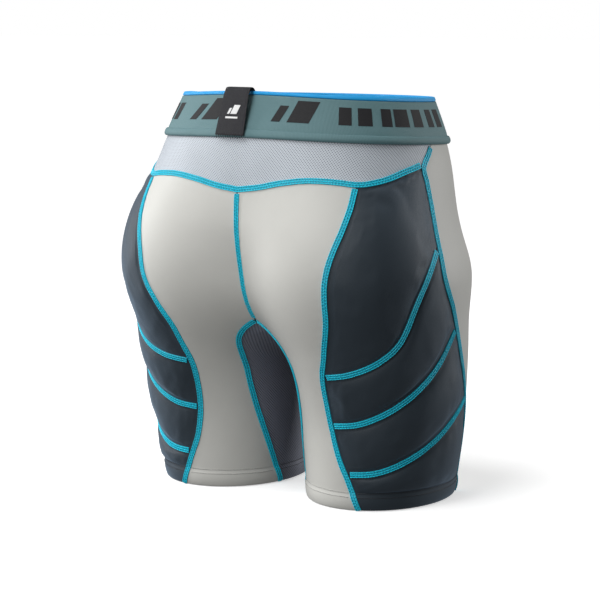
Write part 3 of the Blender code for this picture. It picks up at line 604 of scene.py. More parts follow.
def lengths(points):
    """Distances along the rows and up the columns of a grid, in metres."""
    across = np.linalg.norm(np.diff(points, axis=1), axis=2)
    up = np.linalg.norm(np.diff(points, axis=0), axis=2)
    u = np.concatenate([np.zeros((len(points), 1)), np.cumsum(across, axis=1)], axis=1)
    v = np.concatenate([np.zeros((1, points.shape[1])), np.cumsum(up, axis=0)], axis=0)
    return u, v


def skin(name, outer, inner, finish):
    """Thin solid between two grids, with cloth coordinates in metres."""
    rows, cols = outer.shape[:2]
    u, v = lengths(outer)
    u = u - u[:, cols // 2][:, None]
    uvs = np.stack([u, v], -1).reshape(-1, 2)
    verts = np.concatenate([outer.reshape(-1, 3), inner.reshape(-1, 3)])
    faces = shell_faces(rows, cols)
    return add_piece(name, verts, faces, finish, np.concatenate([uvs, uvs]))


def wavering(x, seed, scale):
    """Smooth irregular wave between about -1 and 1."""
    phase = np.random.default_rng(seed).uniform(0, 2 * math.pi, 4)
    total = np.sin(x / scale + phase[0]) + 0.7 * np.sin(x / scale * 1.73 + phase[1])
    total += 0.5 * np.sin(x / scale * 0.41 + phase[2]) + 0.4 * np.sin(x / scale * 2.9 + phase[3])
    return total / 2.0


def fade(distance):
    """How strong a wrinkle is at a distance from the stitches that cause it."""
    return np.exp(-distance / WRINKLE_REACH) * (1 - np.exp(-distance / WRINKLE_START))


def gathers(points, seed):
    """Small wrinkles that run out from the stitched edges of a grid."""
    u, v = lengths(points)
    from_side = np.minimum(u, u[:, -1:] - u)
    from_end = v[-1:] - v
    wave = fade(from_side) * wavering(v + 0.4 * from_side, seed, 1.5 * MM)
    wave += fade(from_end) * wavering(u + 0.4 * from_end, seed + 1, 1.7 * MM)
    soft = 0.3 * wavering(u * 0.7 + v, seed + 2, 21 * MM) * wavering(v - 0.5 * u, seed + 3, 33 * MM)
    return WRINKLE * (1.6 * wave + soft)


def fold(z, depth):
    """Outer and inner offsets of cloth that is turned under at its lower edge."""
    t = np.clip(1 - z / FOLD_HEIGHT, 0.0, 0.985)
    drop = depth / 2 * (1 - np.sqrt(1 - t * t))
    return -drop, -depth + drop


def above_hem(z, reach):
    """0 up to the top of the hem and 1 from the reach above it."""
    return np.clip((z - HEM_HEIGHT) / reach, 0.0, 1.0)


def hem_depth(z, thickness):
    return HEM_THICKNESS + (thickness - HEM_THICKNESS) * above_hem(z, HEM_TAPER)


def panel(name, points, side, finish, seed):
    """Single cloth panel with its doubled hem, wrinkled a little beside its seams."""
    z = points[..., 2]
    outer, inner = fold(z, hem_depth(z, PANEL_THICKNESS))
    wrinkle = gathers(points, seed) * above_hem(z, WRINKLE_HEM_REACH)
    top = placed(points, outer + wrinkle, side)
    return skin(name, top, placed(points, inner + wrinkle, side), finish)


def filled(levels, step=FINE):
    """The same levels with more between them, none further apart than the step."""
    out = [levels[0]]
    for low, high in zip(levels, levels[1:]):
        count = max(int(math.ceil((high - low) / step)), 1)
        out += list(np.linspace(low, high, count + 1)[1:])
    return out


HEM_LEVELS = [0.0, 0.1 * MM, 0.4 * MM, 0.8 * MM, FOLD_HEIGHT, 4.5 * MM, 8.0 * MM, 11.5 * MM]
HEM_LEVELS += [14.0 * MM, HEM_HEIGHT, HEM_HEIGHT + HEM_TAPER]
LEG_LEVELS = HEM_LEVELS + filled([0.021, 0.150]) + [0.153, 0.156, 0.159, 0.162, 0.165]
MIDDLE_LEVELS = LEG_LEVELS + [0.167, 0.169, 0.1706, JUNCTION_HEIGHT] + filled([0.175, 0.284])


# ---- panels ----
def back_panel(side, word, finish):
    points = panel_grid(
        MIDDLE_LEVELS + filled([0.288, YOKE_HEIGHTS[0] - EDGE_GAP / 2]),
        lambda z: middle_edge(z, side, True),
        lambda z: side_back(z, side) - degrees_of(EDGE_GAP / 2, z),
        lambda a: yoke_level(a) - EDGE_GAP / 2,
        46,
    )
    ob = panel(f"back_panel_{word}_cloth", points, side, finish, 10 + side)
    sewn_in(f"back_panel_{word}")


def front_panel(side, word, finish):
    top = float(level(180.0, BAND_BOTTOM_LEVELS)) + BAND_TUCK
    points = panel_grid(
        MIDDLE_LEVELS + filled([0.288, top]),
        lambda z: side_front(z, side) + degrees_of(EDGE_GAP / 2, z),
        lambda z: middle_edge(z, side, False),
        lambda a: level(a, BAND_BOTTOM_LEVELS) + BAND_TUCK,
        54,
    )
    ob = panel(f"front_panel_{word}_cloth", points, side, finish, 20 + side)
    sewn_in(f"front_panel_{word}")


def back_yoke(finish):
    end_low = YOKE_END_ANGLE - float(degrees_of(EDGE_GAP / 2, 0.32))
    end_high = float(side_front(level(90.0, BAND_BOTTOM_LEVELS) + BAND_TUCK, 1)) - 0.2
    u = np.linspace(-1.0, 1.0, 120)
    low = yoke_level(u * end_low) + EDGE_GAP / 2
    high = level(u * end_high, BAND_BOTTOM_LEVELS) + BAND_TUCK
    v = np.linspace(0.0, 1.0, 20)[:, None]
    z = low * (1 - v) + high * v
    reach = side_front(z[:, -1], 1) - degrees_of(EDGE_GAP / 2, z[:, -1])
    angle = reach[:, None] * u
    points = body_point(np.abs(angle), z)
    points[..., 0] *= np.sign(u)
    wrinkle = gathers(points[::-1], 31)[::-1]
    under = placed(points, wrinkle - PANEL_THICKNESS)
    ob = skin("back_yoke_mesh", placed(points, wrinkle), under, finish)
    sewn_in("back_yoke")


def gusset_edge(side, back):
    z = np.array(LEG_LEVELS)
    angle = inseam(z, side, back) + degrees_of(EDGE_GAP / 2, z) * (-1 if back else 1)
    end = underside(crotch_ends()[0 if back else 1])
    return np.concatenate([body_point(angle, z), end[None, :]])


def gusset_half(side):
    """Rows from the hem to the middle plane; columns from the back inseam to the front."""
    t = np.linspace(0.0, 1.0, 31)
    back = gusset_edge(side, True)
    front = gusset_edge(side, False)
    ends = crotch_ends()
    last = underside(ends[0] * (1 - t) + ends[1] * t)
    z = np.array(HEM_LEVELS)
    start = inseam(z, side, True) - degrees_of(EDGE_GAP / 2, z) + 360.0
    stop = inseam(z, side, False) + degrees_of(EDGE_GAP / 2, z)
    low = body_point(start[:, None] * (1 - t) + stop[:, None] * t, z[:, None])
    grid = patch(back[len(z) - 1 :], front[len(z) - 1 :], low[-1], last, t)
    grid[1:-1, 1:-1] = onto_body(grid[1:-1, 1:-1])
    return np.concatenate([low, grid[1:]])


def gusset(finish):
    left = gusset_half(1)
    right = gusset_half(-1)
    right[..., 0] *= -1
    points = np.concatenate([left[:-1], left[-1:], right[-2::-1]])
    z = points[..., 2]
    outer, inner = fold(z, hem_depth(z, PANEL_THICKNESS))
    ob = skin("gusset_mesh", placed(points, outer), placed(points, inner), finish)
    sewn_in("gusset")


# ---- padded side panels ----
def swell(share):
    """How full a pad is across its width or height: flat on top, rolled over at the seams."""
    return 1 - np.abs(2 * np.clip(share, 0.0, 1.0) - 1) ** 4


def crowded(count):
    """Shares from 0 to 1 that lie closer together towards both ends."""
    ease = (np.linspace(0, 1, count) * 2 - 1) * CROWDING
    return (np.tanh(ease) / math.tanh(CROWDING) + 1) / 2


def shoulder_rise(line, u):
    """Height of the flat shoulder beside a seam, more where the seam runs steeply."""
    return SEAM_SHOULDER * np.sqrt(1 + (np.gradient(line, u) / SIDE_PANEL_WIDTH) ** 2)


def cell_columns(index, side, count):
    """Shares across a cell and how full it is there, with a flat shoulder at each seam."""
    z = np.array([float(pad_line(index - 1, 0.5)) - 15 * MM])
    width = float((side_front(z, side) - side_back(z, side))[0])
    shoulder = float(degrees_of(SEAM_SHOULDER, z)[0]) / width
    full = crowded(count)
    inside = shoulder + full * (1 - 2 * shoulder)
    u = np.concatenate([[0.0, shoulder / 2], inside, [1 - shoulder / 2, 1.0]])
    return u, np.concatenate([[0.0, 0.0], swell(full), [0.0, 0.0]])


def cell_rows(index, u, count):
    """Heights up a cell at every column, and how full the pad is at each row."""
    above = pad_line(index - 1, u) - EDGE_GAP / 2
    rise = shoulder_rise(above, u)
    if index < 3:
        below = pad_line(index, u) + EDGE_GAP / 2
        start = below + shoulder_rise(below, u)
        first = np.stack([below, (below + start) / 2])
    else:
        start = np.full_like(u, HEM_LEVELS[-1])
        first = np.array(HEM_LEVELS)[:-1, None] * np.ones_like(u)
    shares = crowded(count)
    middle = start + shares[:, None] * (above - rise - start)
    last = np.stack([above - rise / 2, above])
    full = np.concatenate([np.zeros(len(first)), swell(shares), [0.0, 0.0]])
    return np.concatenate([first, middle, last]), full


def cell_grid(index, side):
    """Points and fullness of one padded cell of the side panel."""
    u, across = cell_columns(index, side, 44)
    z, along = cell_rows(index, u, (40, 17, 17, 15)[index])
    near = side_back(z[:, 0], side) + degrees_of(EDGE_GAP / 2, z[:, 0])
    far = side_front(z[:, -1], side) - degrees_of(EDGE_GAP / 2, z[:, -1])
    angle = near[:, None] * (1 - u) + far[:, None] * u
    return body_point(angle, z), along[:, None] * across[None, :]


def blown_up(cells):
    """How far each cover puffs up between its seams, from one cloth simulation of them all."""
    verts = []
    faces = []
    pinned = []
    start = 0
    for points, full, side in cells:
        rows, cols = full.shape
        grid = placed(points, PAD_RISE * full, side).reshape(-1, 3)
        order = quads(rows, cols)
        outward = order[:, ::-1] if side > 0 else order
        faces += (outward + start).tolist()
        pinned += [start + i for i in np.flatnonzero(full.ravel() < 1e-6)]
        verts.append(grid)
        start += len(grid)
    verts = np.concatenate(verts)
    mesh = bpy.data.meshes.new("cover_sim")
    mesh.from_pydata(verts.tolist(), [], faces)
    ob = linked("cover_sim", mesh)
    moved = simulated(ob, pinned)
    bpy.data.objects.remove(ob, do_unlink=True)
    return moved - verts


def simulated(ob, pinned):
    """Vertex places after twenty frames of pressure with the seam lines held."""
    group = ob.vertex_groups.new(name="seams")
    group.add([int(i) for i in pinned], 1.0, "REPLACE")
    cloth = ob.modifiers.new("cloth", "CLOTH").settings
    cloth.quality = 6
    cloth.mass = 0.12
    cloth.tension_stiffness = 15
    cloth.compression_stiffness = 15
    cloth.shear_stiffness = 6
    cloth.bending_stiffness = 0.6
    cloth.vertex_group_mass = "seams"
    cloth.use_pressure = True
    cloth.uniform_pressure_force = 4
    cloth.shrink_min = -0.015
    cloth.effector_weights.gravity = 0.0
    scene = bpy.context.scene
    for frame_number in range(1, 21):
        scene.frame_set(frame_number)
    done = ob.evaluated_get(bpy.context.evaluated_depsgraph_get()).to_mesh()
    places = np.zeros(len(done.vertices) * 3)
    done.vertices.foreach_get("co", places)
    scene.frame_set(1)
    return places.reshape(-1, 3)


def puffs(cells):
    """Extra rise of every cover over its foam."""
    moved = blown_up(cells)
    out = []
    start = 0
    for points, full, side in cells:
        step = moved[start : start + full.size].reshape(full.shape + (3,))
        start += full.size
        still = placed(points, np.zeros(full.shape), side)
        normal = placed(points, np.full(full.shape, MM), side) - still
        rise = (step * normal).sum(-1) / MM
        out.append(MOST_PUFF * np.tanh(np.maximum(rise, 0.0) / MOST_PUFF))
    return out


def cover(index, side, word, points, full, puff, finish):
    z = points[..., 2]
    thickness = hem_depth(z, COVER_THICKNESS)
    low, under = fold(z, thickness)
    wrinkle = gathers(points, 40 + 4 * index + side) * above_hem(z, WRINKLE_HEM_REACH)
    rise = PAD_RISE * full + puff + wrinkle
    name = f"pad_cover_{PAD_NAMES[index]}_{word}"
    outer = placed(points, rise + low, side)
    inner = placed(points, rise + under, side)
    ob = skin(f"{name}_cloth", outer, inner, finish)
    stand_in(name)


def foam(index, side, word, points, full, finish):
    """Foam slab with soft edges between the cover and the lining."""
    first = 2 if index < 3 else len(HEM_LEVELS)
    points = points[first:-2, 2:-2]
    full = full[first:-2, 2:-2]
    outer = placed(points, PAD_RISE * full - COVER_THICKNESS - GAP, side)
    inner = placed(points, -COVER_THICKNESS - LINING_GAP + GAP - PAD_SINK * full, side)
    name = f"foam_pad_{PAD_NAMES[index]}_{word}"
    ob = skin(f"{name}_core", outer, inner, finish)
    stand_in(name)


def lining(side, word, cells, finish):
    """Inner cloth behind all four pads, from above the hem to the yoke."""
    grids = [cells[3][0][len(HEM_LEVELS) - 1 :]]
    fulls = [cells[3][1][len(HEM_LEVELS) - 1 :]]
    for index in (2, 1, 0):
        grids.append(cells[index][0])
        fulls.append(cells[index][1])
    points = np.concatenate(grids)
    top = -COVER_THICKNESS - LINING_GAP - PAD_SINK * np.concatenate(fulls)
    under = placed(points, top - LINING_THICKNESS, side)
    ob = skin(f"pad_lining_{word}_cloth", placed(points, top, side), under, finish)
    sewn_in(f"pad_lining_{word}")


def pads(finishes):
    cells = [(*cell_grid(index, side), side) for _, side in SIDES for index in range(4)]
    rises = puffs(cells)
    for number, (word, side) in enumerate(SIDES):
        own = cells[4 * number : 4 * number + 4]
        for index, (points, full, _) in enumerate(own):
            cover(index, side, word, points, full, rises[4 * number + index], finishes["pad"])
            foam(index, side, word, points, full, finishes["foam"])
        lining(side, word, own, finishes["lining"])


# ---- seams ----
def laid(line, side):
    """Centre, crosswise and outward directions of a seam on the finished cloth."""
    across = sideways(line) * SEAM_WIDTH / 2
    flat = np.zeros(len(line))
    centre = placed(line, flat, side)
    left = placed(onto_body(line - across), flat, side)
    right = placed(onto_body(line + across), flat, side)
    cross = (right - left) / SEAM_WIDTH
    return centre, cross, unit(placed(line, flat + MM, side) - centre)


def on_seam(bed, s, t, h):
    """Places at distances along, across and above a seam."""
    at = distances(bed[0])
    c, a, n = [np.stack([np.interp(s, at, q[:, i]) for i in range(3)], -1) for q in bed]
    t, h = (np.broadcast_to(q, np.shape(s))[:, None] for q in (t, h))
    return c + a * t + n * h, n


def thread(path, normal, radius, sides=6):
    """Closed tube of changing radius along a path."""
    along = unit(np.gradient(path, axis=0))
    out = unit(np.cross(along, normal))
    up = np.cross(out, along)
    turn_by = np.linspace(0, 2 * math.pi, sides, endpoint=False)[None, :, None]
    around = out[:, None] * np.cos(turn_by) + up[:, None] * np.sin(turn_by)
    rings = path[:, None] + around * np.asarray(radius)[:, None, None]
    return rings.reshape(-1, 3), tube_faces(len(path), sides)


def joined(name, parts, finish):
    """One piece made of several shells, each with a share of light that paints shade into its colour,
    none of it below the hem edges.
    """
    verts = []
    faces = []
    light_shares = []
    start = 0
    for points, own, light_share in parts:
        verts.append(points)
        faces += [[start + i for i in face] for face in own]
        light_shares += [light_share] * len(points)
        start += len(points)
    verts = np.concatenate(verts)
    verts[:, 2] = np.maximum(verts[:, 2], 0.0)
    return add_piece(name, verts, faces, finish, light_shares=light_shares)


def tape(bed, length, width, low, high, light_share):
    """Flat core of a seam, under its threads; its share of light darkens it as painted shade."""
    s = np.linspace(0.0, length, max(int(length / (2 * MM)), 3))
    section = [(-0.5, low), (-0.2, low), (0.2, low), (0.5, low), (0.47, high * 0.7)]
    section += [(0.25, high), (0.0, high * 1.05), (-0.25, high), (-0.47, high * 0.7)]
    rings = []
    for share, height in section:
        rings.append(on_seam(bed, s, share * width, height)[0])
    rings = np.stack(rings, 1)
    return rings.reshape(-1, 3), tube_faces(len(s), len(section)), light_share


def stitched_row(bed, length, t, pitch, radius, height, seed):
    """Row of chained stitches: a thread that swells between its needle holes."""
    count = max(int(length / pitch), 1)
    s = np.linspace(0.0, length, count * 6 + 1)
    beat = np.abs(np.sin(math.pi * s / (length / count)))
    waver = 0.12 * MM * wavering(s, seed, 4 * MM)
    path, normal = on_seam(bed, s, t + waver, height + 0.45 * radius * beat)
    return thread(path, normal, radius * (0.55 + 0.45 * beat**0.6))


def crossing_thread(bed, length, half_width, seed):
    """Cover thread that goes to and fro between the outer rows."""
    count = max(int(length / COVER_PITCH), 2)
    s = np.linspace(0.0, length, count * 8 + 1)
    swing = np.arcsin(np.sin(2 * math.pi * s / (length / count) * 0.5)) * 2 / math.pi
    lean = 0.25 * MM * wavering(s, seed, 3 * MM)
    path, normal = on_seam(bed, s + lean, half_width * swing, 0.62 * MM + 0.12 * MM * np.abs(swing))
    return thread(path, normal, np.full(len(s), COVER_RADIUS), 5)


def flatlock(name, line, side, others, finish, seed):
    """Flat seam: a core, a cover thread to and fro and three rows of stitches on it."""
    line = clear_of(line, others, SEAM_WIDTH)
    bed = laid(line, side)
    length = float(distances(bed[0])[-1])
    reach = 0.40 * SEAM_WIDTH
    # painted shade by depth: core 0.35 of the light, under tape 0.6, cross thread 0.8, stitch rows 1.0
    parts = [tape(bed, length, SEAM_WIDTH, 0.05 * MM, CORE_RISE, 0.35)]
    under = -PANEL_THICKNESS
    parts.append(tape(bed, length, 0.8 * SEAM_WIDTH, under - UNDER_TAPE, under, 0.6))
    parts.append((*crossing_thread(bed, length, reach, seed), 0.8))
    for row, t in enumerate((-reach, 0.0, reach)):
        made = stitched_row(bed, length, t, THREAD_PITCH, THREAD_RADIUS, 0.75 * MM, seed + row)
        parts.append((*made, 1.0))
    ob = joined(f"{name}_stitching", parts, finish)
    stand_in(name)


def half_seams(word, side, lines, yoke, finish):
    own_yoke = yoke if side > 0 else mirrored(yoke)
    seed = 100 if side > 0 else 200
    flatlock(f"side_front_seam_{word}", lines["side_front"], side, [], finish, seed)
    flatlock(f"side_back_seam_{word}", lines["side_back"], side, [own_yoke], finish, seed + 10)
    stops = [lines["side_back"], lines["side_front"]]
    for index in range(3):
        name = f"pad_seam_{index + 1}"
        flatlock(f"{name}_{word}", lines[name], side, stops, finish, seed + 20 + 5 * index)
    for number, way in enumerate(("back", "front")):
        line = own_side(lines[f"inseam_{way}"])
        flatlock(f"inseam_{way}_seam_{word}", line, side, [], finish, seed + 50 + 5 * number)


def own_side(line):
    """The stretch of a line whose seam stays on its own side of the middle plane."""
    across = sideways(line) * SEAM_WIDTH / 2
    nearest = np.minimum((line - across)[:, 0], (line + across)[:, 0])
    return line[nearest > GAP]


def seams(finish):
    yoke = yoke_line()
    halves = {word: seam_lines(side) for word, side in SIDES}
    for word, side in SIDES:
        half_seams(word, side, halves[word], yoke, finish)

    def pair(name):
        return [halves["left"][name], mirrored(halves["right"][name])]

    flatlock("yoke_seam", yoke, 1, pair("side_front"), finish, 301)
    centre_back = middle_line(True, float(yoke_level(0.0)))
    flatlock("center_back_seam", centre_back, 1, [yoke] + pair("inseam_back"), finish, 311)
    top = float(level(180.0, BAND_BOTTOM_LEVELS)) - SEAM_STOP_BELOW_BAND
    flatlock("center_front_seam", middle_line(False, top), 1, pair("inseam_front"), finish, 321)


def hem_stitches(finishes):
    """Double stitching round each leg, between the upright seams that it stops at."""
    z = HEM_STITCH_LEVEL
    near_hem = np.linspace(0.0, HEM_SEARCH_HEIGHT, 36)
    for word, side in SIDES:
        walls = upright_lines(side, near_hem, near_hem, near_hem)
        back = float(side_back(z, side))
        front = float(side_front(z, side))
        inner_front = float(inseam(z, side, False))
        inner_back = float(inseam(z, side, True)) + 360.0
        spans = {
            "pad": (back, front, "side_back", "side_front"),
            "front": (front, inner_front, "side_front", "inseam_front"),
            "gusset": (inner_front, inner_back, "inseam_front", "inseam_back"),
            "back": (inner_back, back + 360.0, "inseam_back", "side_back"),
        }
        for number, (piece, (start, end, first, second)) in enumerate(spans.items()):
            angle = np.linspace(start, end, 80)
            line = line_of(angle, np.full_like(angle, z))
            line = clear_of(line, [walls[first], walls[second]], HEM_STITCH_WIDTH)
            tint = "hem_dark" if piece in ("pad", "gusset") else "hem_light"
            coverstitch(f"hem_stitch_{piece}_{word}", line, side, finishes[tint], 400 + number)


def coverstitch(name, line, side, finish, seed):
    """Two rows of stitches side by side."""
    bed = laid(line, side)
    length = float(distances(bed[0])[-1])
    parts = []
    for row, t in enumerate((-0.5 * HEM_STITCH_WIDTH, 0.5 * HEM_STITCH_WIDTH)):
        radius = HEM_THREAD_RADIUS
        made = stitched_row(bed, length, t, HEM_STITCH_PITCH, radius, 0.12 * MM, seed + 10 * row)
        parts.append((*made, 1.0))
    ob = joined(f"{name}_thread", parts, finish)
    stand_in(name)


# ---- waistband ----
def band_points(angle, share, rise, offset):
    """Places on the waistband: share of its height from its lower edge, plus a rise."""
    angle, share, rise, offset = np.broadcast_arrays(angle, share, rise, offset)
    turned = np.mod(angle, 360.0)
    folded = np.where(turned > 180.0, 360.0 - turned, turned)
    low = level(folded, BAND_BOTTOM_LEVELS)
    high = level(folded, BAND_TOP_LEVELS)
    points = body_point(folded, low * (1 - share) + high * share + rise)
    points[..., 0] *= np.where(turned > 180.0, -1.0, 1.0)
    return placed(points, offset)


def roll_rise(angle):
    """The rolled lower edge stands out least at the centre back."""
    turned = np.mod(angle, 360.0)
    off_centre = np.minimum(turned, 360.0 - turned)
    return BAND_ROLL_RISE * (0.30 + 0.85 * smooth_step((off_centre - 10.0) / 55.0))


def ring_solid(name, rings, finish):
    """Closed ring from cross-section points going round the waist."""
    stations, count = rings.shape[:2]
    around = np.linalg.norm(np.roll(rings[:, count // 3], -1, axis=0) - rings[:, count // 3], axis=1)
    u = np.concatenate([[0.0], np.cumsum(around)])[:-1]
    v = distances(rings[0])
    uvs = np.stack(np.broadcast_arrays(u[:, None], v[None, :]), -1).reshape(-1, 2)
    faces = quads(stations, count, wrap_rows=True, wrap_cols=True).tolist()
    return add_piece(name, rings.reshape(-1, 3), faces, finish, uvs, sharp=60.0)


def waistband(finish):
    angle = BAND_ANGLES
    inner = BAND_CLEARANCE
    outer = BAND_FACE
    roll = BAND_ROLL_HEIGHT
    rise = roll_rise(angle)
    section = []
    for tilt in np.radians(np.linspace(-80, 90, 11)):
        lift = roll / 2 * (1 + math.sin(tilt))
        swing = math.cos(tilt) ** 0.7
        base = outer if tilt > 0 else inner + (outer - inner) * max(swing, 0.35)
        section.append((0.0, lift, base + rise * swing - 0.25 * MM * (tilt > 1.3)))
    section.append((0.0, roll * 1.2, outer - 0.1 * MM))
    for share in np.linspace(0.24, 0.86, 12):
        ripple = 0.12 * MM * wavering(angle * 1.5 * MM, 61, 9 * MM) * math.sin(9 * share)
        section.append((share, 0.0, outer + ripple))
    section.append((1.0, -TOP_EDGE_HEIGHT - 0.8 * MM, outer))
    section.append((1.0, -TOP_EDGE_HEIGHT - GAP, outer - 0.5 * MM))
    section.append((1.0, -TOP_EDGE_HEIGHT - GAP, inner))
    section += [(share, 0.0, inner) for share in np.linspace(0.8, 0.1, 6)]
    section.append((0.0, 0.4 * MM, inner))
    rings = np.stack([band_points(angle, *place) for place in section], 1)
    ob = ring_solid("waistband_knit", rings, finish)
    stand_in("waistband_elastic")


def top_edge(finish):
    angle = BAND_ANGLES
    inner = BAND_CLEARANCE
    outer = BAND_FACE + TOP_EDGE_RISE
    middle = (inner + outer) / 2
    half = (outer - inner) / 2
    section = [(-TOP_EDGE_HEIGHT, outer - 0.5 * MM), (-TOP_EDGE_HEIGHT + 0.3 * MM, outer)]
    section += [(-0.6 * TOP_EDGE_HEIGHT, outer + 0.1 * MM), (-half, outer)]
    for tilt in np.radians([25, 50, 75, 105, 130, 155]):
        section.append((-half + half * math.sin(tilt), middle + half * math.cos(tilt)))
    section += [(-half, inner), (-TOP_EDGE_HEIGHT, inner)]
    rings = np.stack([band_points(angle, 1.0, rise, offset) for rise, offset in section], 1)
    ob = ring_solid("waistband_piping", rings, finish)
    stand_in("waistband_top_edge")


def plate(corners, place, rise, rows=7, cols=9):
    """Thin four-sided mark laid on a surface; corners go round from the lower left."""
    a, b, c, d = [np.array(q, float) for q in corners]
    u = np.linspace(0.0, 1.0, cols)[None, :, None]
    v = np.linspace(0.0, 1.0, rows)[:, None, None]
    flat = (a * (1 - u) + b * u) * (1 - v) + (d * (1 - u) + c * u) * v
    top = place(flat[..., 0], flat[..., 1], rise)
    under = place(flat[..., 0], flat[..., 1], -0.2 * MM)
    verts = np.concatenate([top.reshape(-1, 3), under.reshape(-1, 3)])
    return verts, shell_faces(rows, cols), 1.0


def slanted(left, low, right, high, slant):
    """Corners of an upright bar that leans to one side."""
    return [(left, low), (right, low), (right + slant, high), (left + slant, high)]


def band_marks(finish):
    """Black shapes on the elastic: a pair of leaning bars and a row of blocks, repeated."""

    def place(x, share, offset):
        return band_points(x, share, 0.0, BAND_FACE + offset)

    parts = []
    for centre in (-26.0, 30.0, 154.0, 206.0):
        parts.append(plate(slanted(centre - 10, 0.36, centre + 1, 0.82, -6), place, MARK_RISE))
        parts.append(plate(slanted(centre + 5, 0.36, centre + 10, 0.70, -5), place, MARK_RISE))
    for start in (-104.0, 52.0):
        for block, width in enumerate((6.5, 5.0, 6.5, 8.0, 5.0, 6.5, 6.0)):
            left = start + 8.3 * block
            bar = slanted(left, 0.36, left + width * 0.88, 0.73, -1.2)
            parts.append(plate(bar, place, MARK_RISE, 5, 5))
    ob = joined("waistband_marks", parts, finish)


# ---- loop label ----
def label_path():
    """Loop's centre line: height above the band's lower edge and offset from the cloth."""
    height = float(level(LABEL_ANGLE, BAND_TOP_LEVELS) - level(LABEL_ANGLE, BAND_BOTTOM_LEVELS))
    half = LABEL_THICKNESS / 2
    out = BAND_FACE + BAND_ROLL_RISE + GAP + half
    within = -GAP - half - 0.2 * MM
    top = height + LABEL_RISE
    shares = (0.02, 0.12, 0.3, 0.5, 0.7, 0.88, 0.97)
    bulges = (0.0, 0.1, 0.3, 0.6, 0.85, 1.0, 0.93)
    path = [(share * height, out + bulge * LABEL_BULGE) for share, bulge in zip(shares, bulges)]
    path += [(top - 0.6 * MM, out + 0.6 * LABEL_BULGE)]
    path += [(top, 0.5 * (out + within) + 0.25 * LABEL_BULGE), (top - 1.0 * MM, 0.35 * out)]
    path += [(height - 1.5 * MM, within), (0.7 * height, within), (0.45 * height, within)]
    return np.array(path)


def smooth_path(path, count):
    at = distances(path)
    s = np.linspace(0.0, at[-1], count)
    return np.stack([profile(s, at, path[:, 0]), profile(s, at, path[:, 1])], -1)


def label_points(across, path):
    """Places on the label: degrees to either side of its middle, along the given path."""
    base_z = float(level(LABEL_ANGLE, BAND_BOTTOM_LEVELS))
    across, height = np.broadcast_arrays(across, path[:, 0])
    offset = np.broadcast_to(path[:, 1], height.shape)
    angle = LABEL_ANGLE + across
    z = np.maximum(base_z + height, 0.0)
    top = level(angle, BAND_TOP_LEVELS)
    points = body_point(np.abs(angle), np.minimum(z, top))
    points[..., 0] *= np.where(angle >= 0, 1.0, -1.0)
    out = placed(points, offset)
    out[..., 2] += np.maximum(z - top, 0.0)
    return out


def label_spread():
    mid = body_point(LABEL_ANGLE, float(level(LABEL_ANGLE, BAND_BOTTOM_LEVELS)) + 0.02)
    return math.degrees(LABEL_WIDTH / 2 / math.hypot(mid[0], mid[1]))


def loop_label(finish, mark_finish, thread_finish):
    path = smooth_path(label_path(), 60)
    turned = unit(np.gradient(path, axis=0))
    push = np.stack([turned[:, 1], -turned[:, 0]], -1) * LABEL_THICKNESS / 2
    spread = label_spread()
    shares = np.linspace(-1.0, 1.0, 15)
    edge = np.array([0.55 if abs(s) > 0.99 else 1.0 for s in shares])
    face = [label_points(s * spread, path - e * push) for s, e in zip(shares, edge)]
    back = [label_points(s * spread, path + e * push) for s, e in zip(shares, edge)]
    ob = skin("loop_label_ribbon", np.stack(face, 0), np.stack(back, 0), finish)
    stand_in("loop_label")
    marks = label_marks(path - push, spread, mark_finish)
    tack = bartack(spread, thread_finish)


def label_marks(face, spread, finish):
    """Pale leaning bars and a small bar under them, on the label's outer face."""
    outward = np.array([0.0, 1.0])

    def place(x, along, rise):
        s = np.clip(along, 0.0, 1.0) * (len(face) - 1)
        rows = np.stack([np.interp(s.ravel(), np.arange(len(face)), face[:, i]) for i in (0, 1)], -1)
        moved = rows + outward * (rise + 0.05 * MM)
        return label_points(x.ravel() * spread, moved).reshape(x.shape + (3,))

    bars = (
        slanted(-0.30, 0.235, 0.16, 0.335, -0.22),
        slanted(0.24, 0.235, 0.40, 0.30, -0.14),
        slanted(-0.42, 0.185, 0.48, 0.205, 0.0),
    )
    parts = [plate(bar, place, LABEL_MARK_RISE) for bar in bars]
    ob = joined("loop_label_marks", parts, finish)
    return ob


def bartack(spread, finish):
    """Short black stitches that hold the label at the band's lower edge."""
    parts = []
    for number, share in enumerate(np.linspace(-0.9, 0.9, 12)):
        height = np.array([2.6, 1.2, -0.2, -0.9 - 0.4 * (number % 3)]) * MM
        out = BAND_FACE + BAND_ROLL_RISE
        offset = out + np.array([1.1, 1.3, 0.6, -1.2]) * MM
        path = label_points(share * spread, smooth_path(np.stack([height, offset], -1), 8))
        normal = np.tile(body_normal(path[:1]), (8, 1))
        parts.append((*thread(path, normal, np.full(8, 0.28 * MM), 6), 1.0))
    ob = joined("loop_label_bartack", parts, finish)
    return ob


